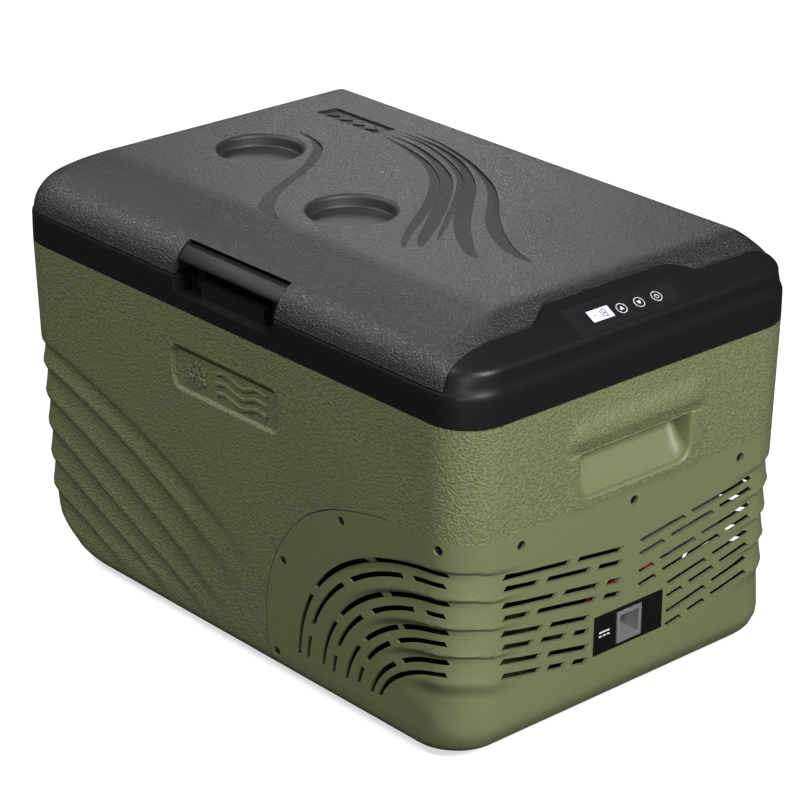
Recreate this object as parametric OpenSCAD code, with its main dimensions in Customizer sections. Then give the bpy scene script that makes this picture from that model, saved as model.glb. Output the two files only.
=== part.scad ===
// Portable compressor cooler: an insulated tub with a hinged lid, a black trim with a control
// console, and a machine bay behind a slotted wrap-round cover at one end.
// Frame: origin on the floor under the middle, +X towards the machine end, latch side at -Y, +Z up.

/* [Body] */
// Length of the body, end to end
body_l = 580; // [480:2:700]
// Width of the body, front to back
body_w = 378; // [340:2:456]
// Height of the seam between the body and the trim band
body_top = 297; // [285:1:360]
// Height of the trim band above that seam
band_h = 28; // [26:1:36]
// Plan radius of the upright corners
corner_r = 39; // [30:1:48]
// Wall of the outer shell
shell_t = 3.5; // [2.5:0.5:5]
// How far each long wall leans in from seam to floor
lean_side = 6; // [2:1:10]
// How far the plain end leans in from seam to floor
lean_left = 8; // [2:1:12]
// How far the machine end leans in from seam to floor
lean_right = 3.5; // [1:0.5:8]
// Height of the rubber feet
foot_h = 5; // [4:0.5:12]

/* [Tub] */
// Foam thickness round the tub
foam_t = 32; // [26:1:40]
// Wall of the tub
tub_t = 2; // [1.5:0.5:3]
// Height of the shallow floor over the machine bay
shelf_z = 236; // [230:1:262]

/* [Lid] */
// Height of the lid over the trim band
lid_h = 44.6; // [40:0.2:60]
// Wall of the lid shell
lid_t = 3; // [2:0.5:4]
// Gap between the lid and the parts next to it
lid_gap = 1.2; // [0.8:0.1:2]
// Diameter of the cup recesses
cup_d = 75; // [60:1:90]
// Depth of the cup recesses
cup_depth = 11; // [6:1:14]
// Radius of the hinge pins
hinge_pin_r = 2; // [1.5:0.1:2.5]
// Radial clearance where a piece turns on its pin
pin_clear = 0.08; // [0.05:0.01:0.1]

/* [Latch] */
// Width of the latch plate
latch_w = 128; // [90:2:150]
// Thickness of the latch plate
latch_t = 3; // [2:0.5:4]

/* [Machine bay] */
// Width of the fan frame
fan_w = 120; // [80:2:130]
// Radius of the compressor shell
comp_r = 54; // [40:1:58]
// Height of a ventilation slot
slot_h = 5; // [3:0.5:6]
// Side of the square power inlet
inlet_w = 28; // [24:1:32]

/* [Hidden] */
$fn = 48;

shell_color = [0.42, 0.45, 0.33];
trim_color = [0.13, 0.13, 0.13];
frame_color = [0.16, 0.17, 0.14];
lid_color = [0.27, 0.28, 0.28];
far = body_l + body_w;                      // longer than any cut has to be
half_l = body_l / 2;
half_w = body_w / 2;
base_z = foot_h;
band_top = body_top + band_h;
seam_gap = 0.4;                             // between cover and shell

// Roundings at the foot of the body: the plain end sweeps up, the machine end is rounder
foot_left = [90, 60];
foot_right = [35, 35];
foot_side = [18, 18];

function arc(c, r, a0, a1, n = 8) =
    [for (i = [0:n]) let (a = a0 + (a1 - a0) * i / n) [c[0] + r[0] * cos(a), c[1] + r[1] * sin(a)]];

// Rounded rectangle about the origin
function round_rect(hx, hy, r, n = 8) = concat(
    arc([hx - r, hy - r], [r, r], 0, 90, n), arc([r - hx, hy - r], [r, r], 90, 180, n),
    arc([r - hx, r - hy], [r, r], 180, 270, n), arc([hx - r, r - hy], [r, r], 270, 360, n));

// Outline of the body seen along an axis, drawn in by t, up to height top
function body_outline(half, lean_a, lean_b, foot_a, foot_b, t, top) = concat(
    [[t - half, top]],
    arc([lean_a + foot_a[0] - half, base_z + foot_a[1]], foot_a - [t, t], 180, 270),
    arc([half - lean_b - foot_b[0], base_z + foot_b[1]], foot_b - [t, t], 270, 360),
    [[half - t, top]]);

module along_y(points, len = far) rotate([90, 0, 0]) translate([0, 0, -len / 2]) linear_extrude(len) polygon(points);
module along_x(points, len = far) rotate([90, 0, 90]) translate([0, 0, -len / 2]) linear_extrude(len) polygon(points);
module box(lo, hi) translate(lo) cube(hi - lo);
module rod(a, r, len, at) translate(at) rotate(a) cylinder(r = r, h = len);
module rod_x(r, at, len) translate(at) rotate([0, 90, 0]) cylinder(r = r, h = len);
module rod_y(r, at, len) translate(at) rotate([-90, 0, 0]) cylinder(r = r, h = len);

module body_solid(t, top) intersection() {
    linear_extrude(top) polygon(round_rect(half_l - t, half_w - t, corner_r - t));
    along_y(body_outline(half_l, lean_left, lean_right, foot_left, foot_right, t, top));
    along_x(body_outline(half_w, lean_side, lean_side, foot_side, foot_side, t, top));
}

// ---- machine bay and its cover -----------------------------------------------------------
bay_x0 = half_l - 234;                      // inner face of the bay's end wall
bay_z1 = 205;                               // underside of the bay's ceiling
bay_t = 3;
plate_lo = [half_l - 224, -half_w + 39, base_z];
plate_hi = [half_l - 40, half_w - 39, base_z + 2];

// Edge of the cover as seen from the front: up from the floor, then over in a long sweep
function cover_edge(g) = concat(
    [[half_l - 225 + g, base_z - 6], [half_l - 233.5 + g, base_z + 20], [half_l - 236 + g, base_z + 38],
     [half_l - 236 + g, base_z + 59], [half_l - 230.5 + g, base_z + 100]],
    [[half_l - 212 + g, base_z + 138.5 - g], [half_l - 179 + g, base_z + 167.5 - g], [half_l - 138.5, base_z + 184 - g],
     [half_l - 89, base_z + 193 - g], [half_l - 50, base_z + 197 - g], [half_l + 20, base_z + 198.5 - g],
     [half_l + 20, base_z - 6]]);

module cover_zone(g = 0) difference() {
    along_y(cover_edge(g));
    box(plate_lo - [0.5 - g, 0.5 - g, 2], plate_hi + [0.5 - g, 0.5 - g, shell_t]);
}

// Sprung arcs of slots on the long sides, and slanted rows on the end, in pairs
slot_rows = 8;
function row_drop(i) = 12.6 * i + (i % 2 == 0 ? 1.2 : -1.2);
arc_c = [half_l, base_z + 15];              // common centre of the arcs
function arc_pt(i, off, a) = let (rx = 198 - 9.6 * i + off, rz = 155 - row_drop(i) + off, n = 2 / 2.3)
    [arc_c[0] - rx * pow(abs(cos(a)), n), arc_c[1] + rz * pow(max(sin(a), 0), n)];
arc_spans = [[3, 36], [40, 63], [66, 84]];
module side_slot(i, span) along_y(concat(
    [for (k = [0:4]) arc_pt(i, 0, span[0] + (span[1] - span[0]) * k / 4)],
    [for (k = [4:-1:0]) arc_pt(i, -slot_h, span[0] + (span[1] - span[0]) * k / 4)]));

// Breaks in each slanted row, as distances from the middle of the end
row_breaks = [[66], [100, 43], [80, 32], [110, 35], [95], [104, 68], [96], [96, 68]];
row_out = 142;
rib_w = 9;
function row_in(i) = i < 4 ? 11 : 50;
function row_slope(i) = 7.5 + 0.6 * i;
module end_slots(side) for (i = [0:slot_rows - 1])
    let (stops = concat([row_out + rib_w / 2], row_breaks[i], [row_in(i) - rib_w / 2]))
    for (k = [0:len(stops) - 2])
        let (ya = stops[k] - rib_w / 2, yb = stops[k + 1] + rib_w / 2)
        translate([half_l - 30, 0, base_z + 159 - row_drop(i)])
            rotate([side * row_slope(i), 0, 0]) translate([0, side > 0 ? yb : -ya, -slot_h - (row_out - ya) * 0.02])
                cube([60, ya - yb, slot_h]);

// Screws that hold the cover: x, z on the long sides, y on the end
side_screws = [[half_l - 143, base_z + 172.7], [half_l - 42, base_z + 188], [half_l - 215, base_z + 110],
    [half_l - 226.5, base_z + 30]];
end_screw_y = [-125, 0, 125];
end_screw_z = base_z + 183;
screw_r = 2;
head_r = 4;
boss_r = 5;
screw_len = 16;

module at_side_screws(depth) for (p = side_screws, s = [-1, 1])
    translate([p[0], s * (half_w - lean_side * (body_top - p[1]) / (body_top - base_z) - depth), p[1]])
        rotate([s * 90, 0, 0]) children();
module at_end_screws(depth) for (y = end_screw_y)
    translate([half_l - lean_right * (body_top - end_screw_z) / (body_top - base_z) - depth, y, end_screw_z])
        rotate([0, -90, 0]) children();
module all_cover_screws(r, len, depth) {
    at_side_screws(depth) cylinder(r = r, h = len);
    at_end_screws(depth) cylinder(r = r, h = len);
}

module machine_cover() color(shell_color) difference() {
    intersection() {
        body_solid(0, body_top);
        cover_zone(seam_gap);
    }
    body_solid(shell_t, body_top + 1);
    for (i = [0:slot_rows - 1], s = arc_spans) side_slot(i, s);
    end_slots(-1);
    end_slots(1);
    all_cover_screws(screw_r + 0.2, 30, -10);
    all_cover_screws(head_r + 0.4, 12, -10);
    inlet_block(0.3);
    plate_space(0.2);
}

module cover_screws() color("dimgray") {
    all_cover_screws(screw_r, screw_len, 1);
    difference() {
        all_cover_screws(head_r, 2, 0);
        all_cover_screws(1.2, 1, -0.01);
    }
}

// ---- outer shell ---------------------------------------------------------------------------
handle_w = 122;                             // finger slot in each end
handle_z = [base_z + 203, base_z + 242.5];
handle_depth = 30;
hood_out = 3.5;
badge = [139, 41, 1.5];
badge_z = base_z + 238;

module handle_block(t) {
    box([half_l - handle_depth - t, -handle_w / 2 - t, handle_z[0] - t], [half_l + 10 - 2 * t, handle_w / 2 + t, handle_z[1] + t]);
    box([half_l - handle_depth - t, -handle_w / 2 - t, handle_z[0] - t], [half_l - 9 + t, handle_w / 2 + t, handle_z[1] + 15 + t]);
}
module hood_back(g = 0) box([half_l - 5 - g, -handle_w / 2 - 12 - g, handle_z[0] - bay_t - g],
    [half_l, handle_w / 2 + 12 + g, handle_z[1] + 27 + g]);
module both_ends() for (m = [0, 1]) mirror([m, 0, 0]) children();
hood = [[half_l - 5, handle_z[1] + 27], [half_l + hood_out, handle_z[1] + 10], [half_l + hood_out, handle_z[1]],
    [half_l - 5, handle_z[1]]];

// Bay wall, ceiling, lip that the cover's edge lies on, and the screws' bosses
module shell_frame() {
    box([bay_x0 - bay_t, -half_w, 0], [bay_x0, half_w, bay_z1 + bay_t]);
    box([bay_x0 - bay_t, -half_w, bay_z1], [half_l, half_w, bay_z1 + bay_t]);
    difference() {
        intersection() {
            along_y(cover_edge(-8));
            box([bay_x0 - bay_t + 0.5, -half_w, 0], [half_l, half_w, bay_z1 + 1]);
        }
        along_y(cover_edge(16));
        box([0, bay_t + shell_t + 12 - half_w, 0], [half_l + 1, half_w - bay_t - shell_t - 12, bay_z1]);
    }
    all_cover_screws(boss_r, screw_len + 6, shell_t);
    box([half_l - 40, -half_w, end_screw_z - 10], [half_l, half_w, bay_z1 + 1]);
}
module bay_frame() color(frame_color) difference() {
    intersection() {
        body_solid(shell_t, body_top + 1);
        shell_frame();
    }
    box(plate_lo - [0.5, 0.5, 2], plate_hi + [0.5, 0.5, 0.2]);
    both_ends() handle_block(bay_t + 0.2);
    both_ends() hood_back(0.2);
    all_cover_screws(screw_r, screw_len + 1, 0);
    inlet_block(1);
    box([half_l - 60, 20, bay_z1 - 1], [half_l - 50, 32, bay_z1 + bay_t + 1]);
    rod_x(5, [bay_x0 - bay_t - 1, pipe_y, pipe_z], bay_t + 2);
    rod_x(2, [bay_x0 - bay_t - 1, cap_y, pipe_z], bay_t + 2);
}

module outer_shell() color(shell_color) difference() {
    union() {
        difference() {
            body_solid(0, body_top);
            body_solid(shell_t, body_top + 1);
            cover_zone();
            box(plate_lo - [0.5, 0.5, 2], plate_hi + [0.5, 0.5, shell_t]);
        }
        both_ends() intersection() {
            union() {
                handle_block(bay_t);
                hood_back();
            }
            box([0, -half_w, 0], [half_l - 2, half_w, body_top]);
        }
        both_ends() along_y(hood, handle_w + 24);
    }
    both_ends() handle_block(0);
    translate([-badge[0] / 2, -half_w - 1, badge_z - badge[1] / 2])
        cube([badge[0], 1 + badge[2] + lean_side * (body_top - badge_z) / (body_top - base_z), badge[1]]);
    at_feet() cylinder(r = screw_r, h = 9);
}

// ---- trim band with the console ---------------------------------------------------------------
trim_t = 3;
console_x = [half_l - 27, half_l - 40.5];   // lid edge outside and inside the console's bay
console_y = [93, 66];
console_a = 28.55;                          // slope of the console's top
ridge = [half_l - 3, band_top + 17.5];
mouth_x = [foam_t + shell_t + 4.5 - half_l, half_l - 68];
mouth_y = half_w - shell_t - foam_t - 1.5;

// Lid edge and its mate: inset from the body's side against height over the band
edge_profile = [[1.5, 1], [3, 8], [7, 16], [14, 23.6], [26, 30], [43, 36], [58, 40.5], [79, lid_h]];
function cross_outline(t, z0, k = 1) = concat(
    [for (p = edge_profile) [k * p[0] + t - half_w, band_top + max(z0, p[1] - t)]],
    [for (i = [len(edge_profile) - 1:-1:0]) let (p = edge_profile[i]) [half_w - k * p[0] - t, band_top + max(z0, p[1] - t)]]);

// The console's side of the joint with the lid; g moves it towards the lid
function console_plan(g) = [[console_x[0] - g, -half_w - 1], [console_x[0] - g, -console_y[0] - g / 2],
    [console_x[1] - g, -console_y[1] - g], [console_x[1] - g, console_y[1] + g], [console_x[0] - g, console_y[0] + g / 2],
    [console_x[0] - g, half_w + 1], [half_l + 1, half_w + 1], [half_l + 1, -half_w - 1]];

function console_top(x) = ridge[1] + (ridge[0] - x) * tan(console_a);
module console_solid(t) intersection() {
    translate([0, 0, band_top - trim_t - 0.1]) linear_extrude(lid_h + trim_t) polygon(console_plan(-t));
    linear_extrude(band_top + lid_h) polygon(round_rect(half_l - t, half_w - t, corner_r - t));
    along_x(concat([[t - half_w, body_top]], cross_outline(t, -0.1), [[half_w - t, body_top]]));
    along_y([[0, body_top], [0, console_top(0) - t / cos(console_a)],
        [ridge[0] - 7, console_top(ridge[0] - 7) - t / cos(console_a)], [ridge[0] - 1.5 - t / 2, ridge[1] - t - 1.5],
        [half_l - t - 0.2, ridge[1] - 8], [half_l - t, band_top], [half_l - t, body_top]]);
}

recess_z0 = band_top - 15;
recess_y = [-half_w + 11, -half_w + 26];    // front of the middle block, back of the side pockets
recess_hw = latch_w / 2 + 1.5;
block_hw = 41;

hinge_x = body_l * 0.26;
hinge_y = half_w - 5;
hinge_z = band_top + 7;
knuckle_r = 4.6;
knuckle_hw = 19;
ear_w = 8;
ear_gap = 0.5;
module at_hinge(s) translate([s * hinge_x, hinge_y, hinge_z]) children();

module top_trim() color(trim_color) difference() {
    union() {
        difference() {
            translate([0, 0, body_top]) linear_extrude(band_h) polygon(round_rect(half_l, half_w, corner_r));
            translate([0, 0, body_top - 1]) linear_extrude(band_h + 1 - trim_t)
                polygon(round_rect(half_l - trim_t, half_w - trim_t, corner_r - trim_t));
        }
        difference() {
            console_solid(0);
            console_solid(trim_t);
        }
        box([-recess_hw - trim_t, -half_w + 0.5, recess_z0 - trim_t], [recess_hw + trim_t, recess_y[1] + trim_t, band_top]);
        for (s = [-1, 1], e = [-1, 1]) at_hinge(s) {
            translate([e * (knuckle_hw + ear_gap + ear_w / 2), 0, 0]) {
                rod_x(knuckle_r, [-ear_w / 2, 0, 0], ear_w);
                box([-ear_w / 2, -knuckle_r, band_top - hinge_z - 1], [ear_w / 2, knuckle_r, 0]);
            }
        }
    }
    box([mouth_x[0], -mouth_y, body_top - 1], [mouth_x[1], mouth_y, band_top + 1]);
    difference() {
        box([-recess_hw, -half_w - 1, recess_z0], [recess_hw, recess_y[1], band_top + 1]);
        box([-block_hw, recess_y[0], recess_z0 - 1], [block_hw, recess_y[1] - strike_t, band_top - 1]);
    }
    for (s = [-1, 1]) at_hinge(s) rod_x(hinge_pin_r, [-knuckle_hw - 7, 0, 0], 2 * knuckle_hw + 14);
    on_console() box([-panel[0] / 2, -panel[1] / 2, -panel_t], [panel[0] / 2, panel[1] / 2, 1]);
    on_console() box([3 - panel[0] / 2, 3 - panel[1] / 2, -8], [panel[0] / 2 - 3, panel[1] / 2 - 3, 1]);
    box([half_l - 60, 20, body_top], [half_l - 50, 32, band_top + 6]);
}

strike_t = 4.6;
module latch_strike() color("dimgray")
    box([-recess_hw + 1, recess_y[1] - strike_t, band_top - 8], [recess_hw - 1, recess_y[1], band_top - 3]);

// ---- control panel on the console --------------------------------------------------------------
panel = [30, 126];
panel_t = 2;
panel_at = [half_l - 19, 2];
key_d = 13.5;
key_y = [-8, 11.6, 31.2];
key_u = 1.5;                                // keys sit a little below the panel's middle line
key_travel = 0.5;
lcd = [11.5, 23];
lcd_y = -30;
board_gap = 1.4;                            // board below the panel, room for the keys to travel
// local x runs down the slope, local z is the console's outward normal
module on_console() translate([panel_at[0], panel_at[1], console_top(panel_at[0])]) rotate([0, console_a, 0]) children();

module control_panel() color([0.08, 0.08, 0.08]) on_console() difference() {
    box([0.2 - panel[0] / 2, 0.2 - panel[1] / 2, -panel_t], [panel[0] / 2 - 0.2, panel[1] / 2 - 0.2, 0]);
    for (y = key_y) translate([key_u, y, -panel_t - 1]) cylinder(d = key_d + 0.4, h = panel_t + 2);
    translate([0, lcd_y, -panel_t / 2]) cube([lcd[0] + 0.2, lcd[1] + 0.2, panel_t * 2], center = true);
}
module display() color([0.75, 0.74, 0.88]) on_console()
    translate([-lcd[0] / 2, lcd_y - lcd[1] / 2, -panel_t - board_gap]) cube([lcd[0], lcd[1], panel_t + board_gap - 0.3]);
module key(y) color([0.1, 0.1, 0.1]) on_console() translate([key_u, y, -panel_t]) cylinder(d = key_d, h = panel_t);
module button_up() key(key_y[0]);
module button_down() key(key_y[1]);
module button_power() key(key_y[2]);
module panel_board() color("darkgreen") on_console() difference() {
    union() {
        box([-11, 6 - panel[1] / 2, -panel_t - 3], [11, panel[1] / 2 - 6, -panel_t - board_gap]);
        for (e = [-1, 1]) translate([0, e * (panel[1] / 2 - 10), -panel_t - board_gap]) cylinder(r = 3, h = board_gap);
    }
    for (e = [-1, 1]) translate([0, e * (panel[1] / 2 - 10), -panel_t - 4]) cylinder(r = 1.6, h = 5);
}

// ---- tub, foam and cold plate -------------------------------------------------------------------
deep_x1 = bay_x0 - bay_t - foam_t;          // outer face of the step towards the bay
deep_z0 = base_z + shell_t + foam_t;
shelf_x1 = mouth_x[1];
module tub_space(t) {
    box([mouth_x[0] + t, -mouth_y + t, deep_z0 + t], [deep_x1 - t, mouth_y - t, band_top + 1]);
    box([mouth_x[0] + t, -mouth_y + t, shelf_z + t], [shelf_x1 - t, mouth_y - t, band_top + 1]);
}
module inner_liner() color("white") difference() {
    intersection() {
        tub_space(0);
        box([-far, -far, 0], [far, far, band_top - 0.3]);
    }
    tub_space(tub_t);
}
coil_z = [60, 95, 130, 165];
coil_r = 3;
module ring_box(out, z0, z1) box([mouth_x[0] - out, -mouth_y - out, z0], [deep_x1 + out, mouth_y + out, z1]);
plate_t = 1.2;
plate_z = [deep_z0 + 12, deep_z0 + 150];
module evaporator_plate() color("silver") difference() {
    ring_box(plate_t, plate_z[0], plate_z[1]);
    ring_box(0, plate_z[0] - 1, plate_z[1] + 1);
}
module evaporator_coil() color([0.72, 0.43, 0.28]) for (z = coil_z) difference() {
    ring_box(plate_t + 2 * coil_r, deep_z0 - 20 + z - coil_r, deep_z0 - 20 + z + coil_r);
    ring_box(plate_t, deep_z0 - 21 + z - coil_r, deep_z0 - 19 + z + coil_r);
}
module temp_sensor() color("black") rod([0, 0, 0], 3, 28, [mouth_x[0] + 90, mouth_y + 3, shelf_z - 20]);

module foam_body() color([0.93, 0.9, 0.72]) difference() {
    union() {
        body_solid(shell_t, body_top + 1);
        translate([0, 0, body_top - 0.01]) linear_extrude(band_h - trim_t + 0.01)
            polygon(round_rect(half_l - shell_t, half_w - shell_t, corner_r - shell_t));
    }
    box([bay_x0 - bay_t, -half_w, 0], [half_l, half_w, bay_z1 + bay_t]);
    box([mouth_x[1] + 0.01, -half_w, bay_z1], [half_l, half_w, band_top]);
    tub_space(0);
    ring_box(plate_t, plate_z[0], plate_z[1]);
    for (z = coil_z) ring_box(plate_t + 2 * coil_r, deep_z0 - 20 + z - coil_r, deep_z0 - 20 + z + coil_r);
    both_ends() handle_block(bay_t);
    both_ends() hood_back();
    box([-recess_hw - trim_t, -half_w, recess_z0 - trim_t], [recess_hw + trim_t, recess_y[1] + trim_t, band_top]);
    translate([-badge[0] / 2 - 3, -half_w - 1, badge_z - badge[1] / 2 - 3]) cube([badge[0] + 6, 10, badge[1] + 6]);
    rod([0, 0, 0], 3, 28, [mouth_x[0] + 90, mouth_y + 3, shelf_z - 20]);
    rod_x(5, [deep_x1, pipe_y, pipe_z], foam_t + 1);
    rod_x(2, [deep_x1, cap_y, pipe_z], foam_t + 1);
    at_feet() cylinder(r = screw_r + 2, h = 12);
}

module front_emblem() color("silver") translate([0, -half_w + lean_side * (body_top - badge_z) / (body_top - base_z) + badge[2], badge_z])
    rotate([90, 0, 0]) for (a = [0, 60, 120]) rotate(a) translate([-13, -1.5, 0]) cube([26, 3, 1]);

// ---- feet and base plate -------------------------------------------------------------------------
foot_r = 14;
feet_at = [[130 - half_l, half_w - 60], [half_l - 55, half_w - 60]];
module at_feet() for (p = feet_at, s = [-1, 1]) translate([p[0], s * p[1], base_z - 0.01]) children();
module feet() color([0.06, 0.06, 0.06]) for (p = feet_at, s = [-1, 1]) translate([p[0], s * p[1], 0]) difference() {
    cylinder(r1 = foot_r - 2, r2 = foot_r, h = foot_h);
    translate([0, 0, -1]) cylinder(r = 5, h = 3.5);
    cylinder(r = screw_r, h = foot_h + 1);
}
module foot_screws() color("silver") for (p = feet_at, s = [-1, 1]) translate([p[0], s * p[1], 0]) {
    translate([0, 0, 1]) cylinder(r = 4, h = 1.5);
    translate([0, 0, 2]) cylinder(r = screw_r, h = foot_h + 5);
}
module base_plate() color("gray") difference() {
    union() {
        box(plate_lo, plate_hi);
        at_comp_mounts() translate([0, 0, -2]) cylinder(r = 6, h = 2);
    }
    at_feet() translate([0, 0, -1]) cylinder(r = screw_r, h = 9);
    at_comp_mounts() translate([0, 0, -3]) cylinder(r = 2, h = 4);
    for (y = [-70:14:70]) box([bay_x0 + 16, y - 3, base_z - 1], [bay_x0 + 40, y + 3, base_z + 3]);
}

// ---- lid --------------------------------------------------------------------------------------------
lid_z0 = band_top + 1;
liner_z = band_top + 3;                     // underside of the lid liner's pan
liner_t = 2;
function left_outline(t) = [for (p = edge_profile) [0.55 * p[0] + t - half_l, band_top + max(1, p[1] - t)]];
module lid_solid(t) difference() {
    intersection() {
        translate([0, 0, lid_z0]) linear_extrude(lid_h) polygon(round_rect(half_l - t, half_w - t, corner_r - t));
        along_x(cross_outline(t, 1));
        along_y(concat(left_outline(t), [[console_x[1] - 5.5 - t, band_top + lid_h - t], [console_x[1] - 2 - t, band_top + 42.5 - t],
            [console_x[0] - t, band_top + 31.5 - t], [console_x[0] - t, lid_z0]]));
    }
    translate([0, 0, lid_z0 - 1]) linear_extrude(lid_h + 2) polygon(console_plan(lid_gap + t));
}
cups = [[124 - half_l, -12], [5, -54]];
module at_cups(z) for (p = cups) translate([p[0], p[1], z]) children();
cup_z = band_top + lid_h - cup_depth;

latch_z = [band_top + 13, band_top + 23.5];
latch_room = 4;                             // room over the plate for its top edge to swing
pivot = [21 - half_w, band_top + 17];
pivot_r = 2;
hub_r = 4.2;
pocket_y = 26.5 - half_w;
module latch_pocket(t) {
    box([-recess_hw - t, -half_w, lid_z0 - 1], [recess_hw + t, pocket_y + t, latch_z[1] + latch_room + t]);
}
module hinge_notch(t) for (s = [-1, 1]) at_hinge(s)
    box([-knuckle_hw - ear_w - 1.5 - t, -knuckle_r - 1.2 - t, lid_z0 - hinge_z - 1], [knuckle_hw + ear_w + 1.5 + t, 20, knuckle_r + 1.2 + t]);

plate_name = [84, 24, 1.2];
name_at = [125 - half_l, half_w - 81];
module lid() color(lid_color) difference() {
    union() {
        difference() {
            lid_solid(0);
            difference() {
                lid_solid(lid_t);
                at_cups(cup_z - lid_t) cylinder(d = cup_d + 2 * lid_t, h = cup_depth + lid_t);
            }
            translate([0, 0, lid_z0 - 1]) linear_extrude(liner_z - lid_z0 + 1.01)
                polygon([for (p = [[lid_t + 1 - half_l, lid_t + 1 - half_w], [mouth_x[1] + 8, lid_t + 1 - half_w],
                    [mouth_x[1] + 8, half_w - lid_t - 1], [lid_t + 1 - half_l, half_w - lid_t - 1]]) p]);
        }
        intersection() {
            lid_solid(0);
            union() {
                latch_pocket(lid_t);
                hinge_notch(lid_t);
                translate([-plate_name[0] / 2 + name_at[0] - 2, name_at[1] - plate_name[1] / 2 - 2, band_top + lid_h - 8])
                    cube([plate_name[0] + 4, plate_name[1] + 4, 8]);
            }
        }
    }
    latch_pocket(0);
    hinge_notch(0);
    at_cups(cup_z) cylinder(d = cup_d, h = cup_depth + 1);
    rod_x(pivot_r, [-recess_hw - 2, pivot[0], pivot[1]], 2 * recess_hw + 4);
    for (s = [-1, 1]) at_hinge(s) box([-14.2, -32, -1.7], [14.2, 0, 1.7]);
    translate([name_at[0], name_at[1], band_top + lid_h - 3]) cube([plate_name[0] + 0.4, plate_name[1] + 0.4, 8], center = true);
}
module nameplate() color([0.2, 0.2, 0.2]) translate([name_at[0] - plate_name[0] / 2, name_at[1] - plate_name[1] / 2, band_top + lid_h - 7])
    difference() {
        cube([plate_name[0], plate_name[1], plate_name[2] + 2]);
        translate([4, 4, 2.4]) cube([plate_name[0] - 8, plate_name[1] - 8, 2]);
    }

// The lid's plug hangs into the tub's mouth
plug_gap = 8;
plug_z0 = band_top - 13;
plug_lo = [mouth_x[0] + tub_t + plug_gap, plug_gap + tub_t - mouth_y];
plug_hi = [mouth_x[1] - tub_t - plug_gap, mouth_y - plug_gap - tub_t];
module plug(t, z0, z1) box([plug_lo[0] + t, plug_lo[1] + t, z0], [plug_hi[0] - t, plug_hi[1] - t, z1]);
module lid_liner() color("white") difference() {
    union() {
        intersection() {
            lid_solid(lid_t + 0.2);
            box([-half_l, -half_w, liner_z], [mouth_x[1] + 7.8, half_w, liner_z + liner_t]);
        }
        plug(0, plug_z0, liner_z + liner_t);
    }
    plug(liner_t, plug_z0 + liner_t, liner_z + liner_t + 1);
    latch_pocket(lid_t + 0.2);
    hinge_notch(lid_t + 0.2);
    for (s = [-1, 1], e = [-1, 1]) at_hinge(s) translate([e * 8, -20, -5]) cylinder(r = 1.5, h = 4);
}
module lid_foam() color([0.93, 0.9, 0.72]) difference() {
    union() {
        intersection() {
            lid_solid(lid_t + 0.2);
            box([-half_l, -half_w, liner_z + liner_t], [half_l, half_w, band_top + lid_h]);
        }
        plug(liner_t, plug_z0 + liner_t, liner_z + liner_t + 0.1);
    }
    at_cups(cup_z - lid_t - 0.2) cylinder(d = cup_d + 2 * lid_t + 0.4, h = 30);
    latch_pocket(lid_t + 0.2);
    hinge_notch(lid_t + 0.2);
    translate([-plate_name[0] / 2 + name_at[0] - 2.2, name_at[1] - plate_name[1] / 2 - 2.2, band_top + lid_h - 8.2])
        cube([plate_name[0] + 4.4, plate_name[1] + 4.4, 9]);
    for (s = [-1, 1]) at_hinge(s) box([-15, -34, -3], [15, 0, 3]);
}
module lid_gasket() color([0.3, 0.3, 0.3]) difference() {
    box([mouth_x[0] - 7, -mouth_y - 7, band_top + 0.2], [mouth_x[1] + 6, mouth_y + 7, liner_z]);
    box([mouth_x[0] - 2, -mouth_y - 2, band_top], [mouth_x[1] - 2, mouth_y + 2, liner_z + 1]);
}

module hinge_leaf(s) color([0.1, 0.1, 0.1]) at_hinge(s) difference() {
    union() {
        rod_x(knuckle_r, [-knuckle_hw, 0, 0], 2 * knuckle_hw);
        box([-14, -30, -1.5], [14, 0, 1.5]);
    }
    rod_x(hinge_pin_r + pin_clear, [-knuckle_hw - 1, 0, 0], 2 * knuckle_hw + 2);
    for (e = [-1, 1]) translate([e * 8, -20, -3]) cylinder(r = 1.5, h = 6);
}
module hinge_leaf_left() hinge_leaf(-1);
module hinge_leaf_right() hinge_leaf(1);
module hinge_pin(s) color("silver") at_hinge(s) rod_x(hinge_pin_r, [-knuckle_hw - 6, 0, 0], 2 * knuckle_hw + 12);
module hinge_pin_left() hinge_pin(-1);
module hinge_pin_right() hinge_pin(1);
module hinge_screws() color("silver") for (s = [-1, 1], e = [-1, 1]) at_hinge(s) translate([e * 8, -20, 0]) {
    translate([0, 0, -4]) cylinder(r = 1.5, h = 5.5);
    translate([0, 0, 1.5]) cylinder(r = 2.8, h = 1.2);
}

// ---- latch ------------------------------------------------------------------------------------------
claw_x = [44, 52];
module latch_handle() color([0.2, 0.21, 0.21]) difference() {
    union() {
        intersection() {
            difference() {
                lid_solid(0.6);
                lid_solid(0.6 + latch_t);
            }
            box([-latch_w / 2, -half_w, latch_z[0]], [latch_w / 2, pivot[0] + 1, latch_z[1]]);
        }
        for (e = [-1, 1]) mirror([e > 0 ? 0 : 1, 0, 0]) {
            rod_x(hub_r, [claw_x[0], pivot[0], pivot[1]], claw_x[1] - claw_x[0]);
            box([claw_x[0], pivot[0] - 4, band_top - 11.5], [claw_x[1], pivot[0] - 1, pivot[1]]);
            box([claw_x[0], pivot[0] - 4, band_top - 12], [claw_x[1], recess_y[1] - strike_t - 0.5, band_top - 9]);
            box([claw_x[0], pivot[0] - 9, latch_z[0] + 3], [claw_x[1], pivot[0] - 1, pivot[1]]);
            box([claw_x[1] + 3, pivot[0] - 9, latch_z[0] + 3], [claw_x[1] + 6, pivot[0] - 3, pivot[1]]);
        }
    }
    rod_x(pivot_r + pin_clear, [-latch_w, pivot[0], pivot[1]], 2 * latch_w);
}
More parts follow.
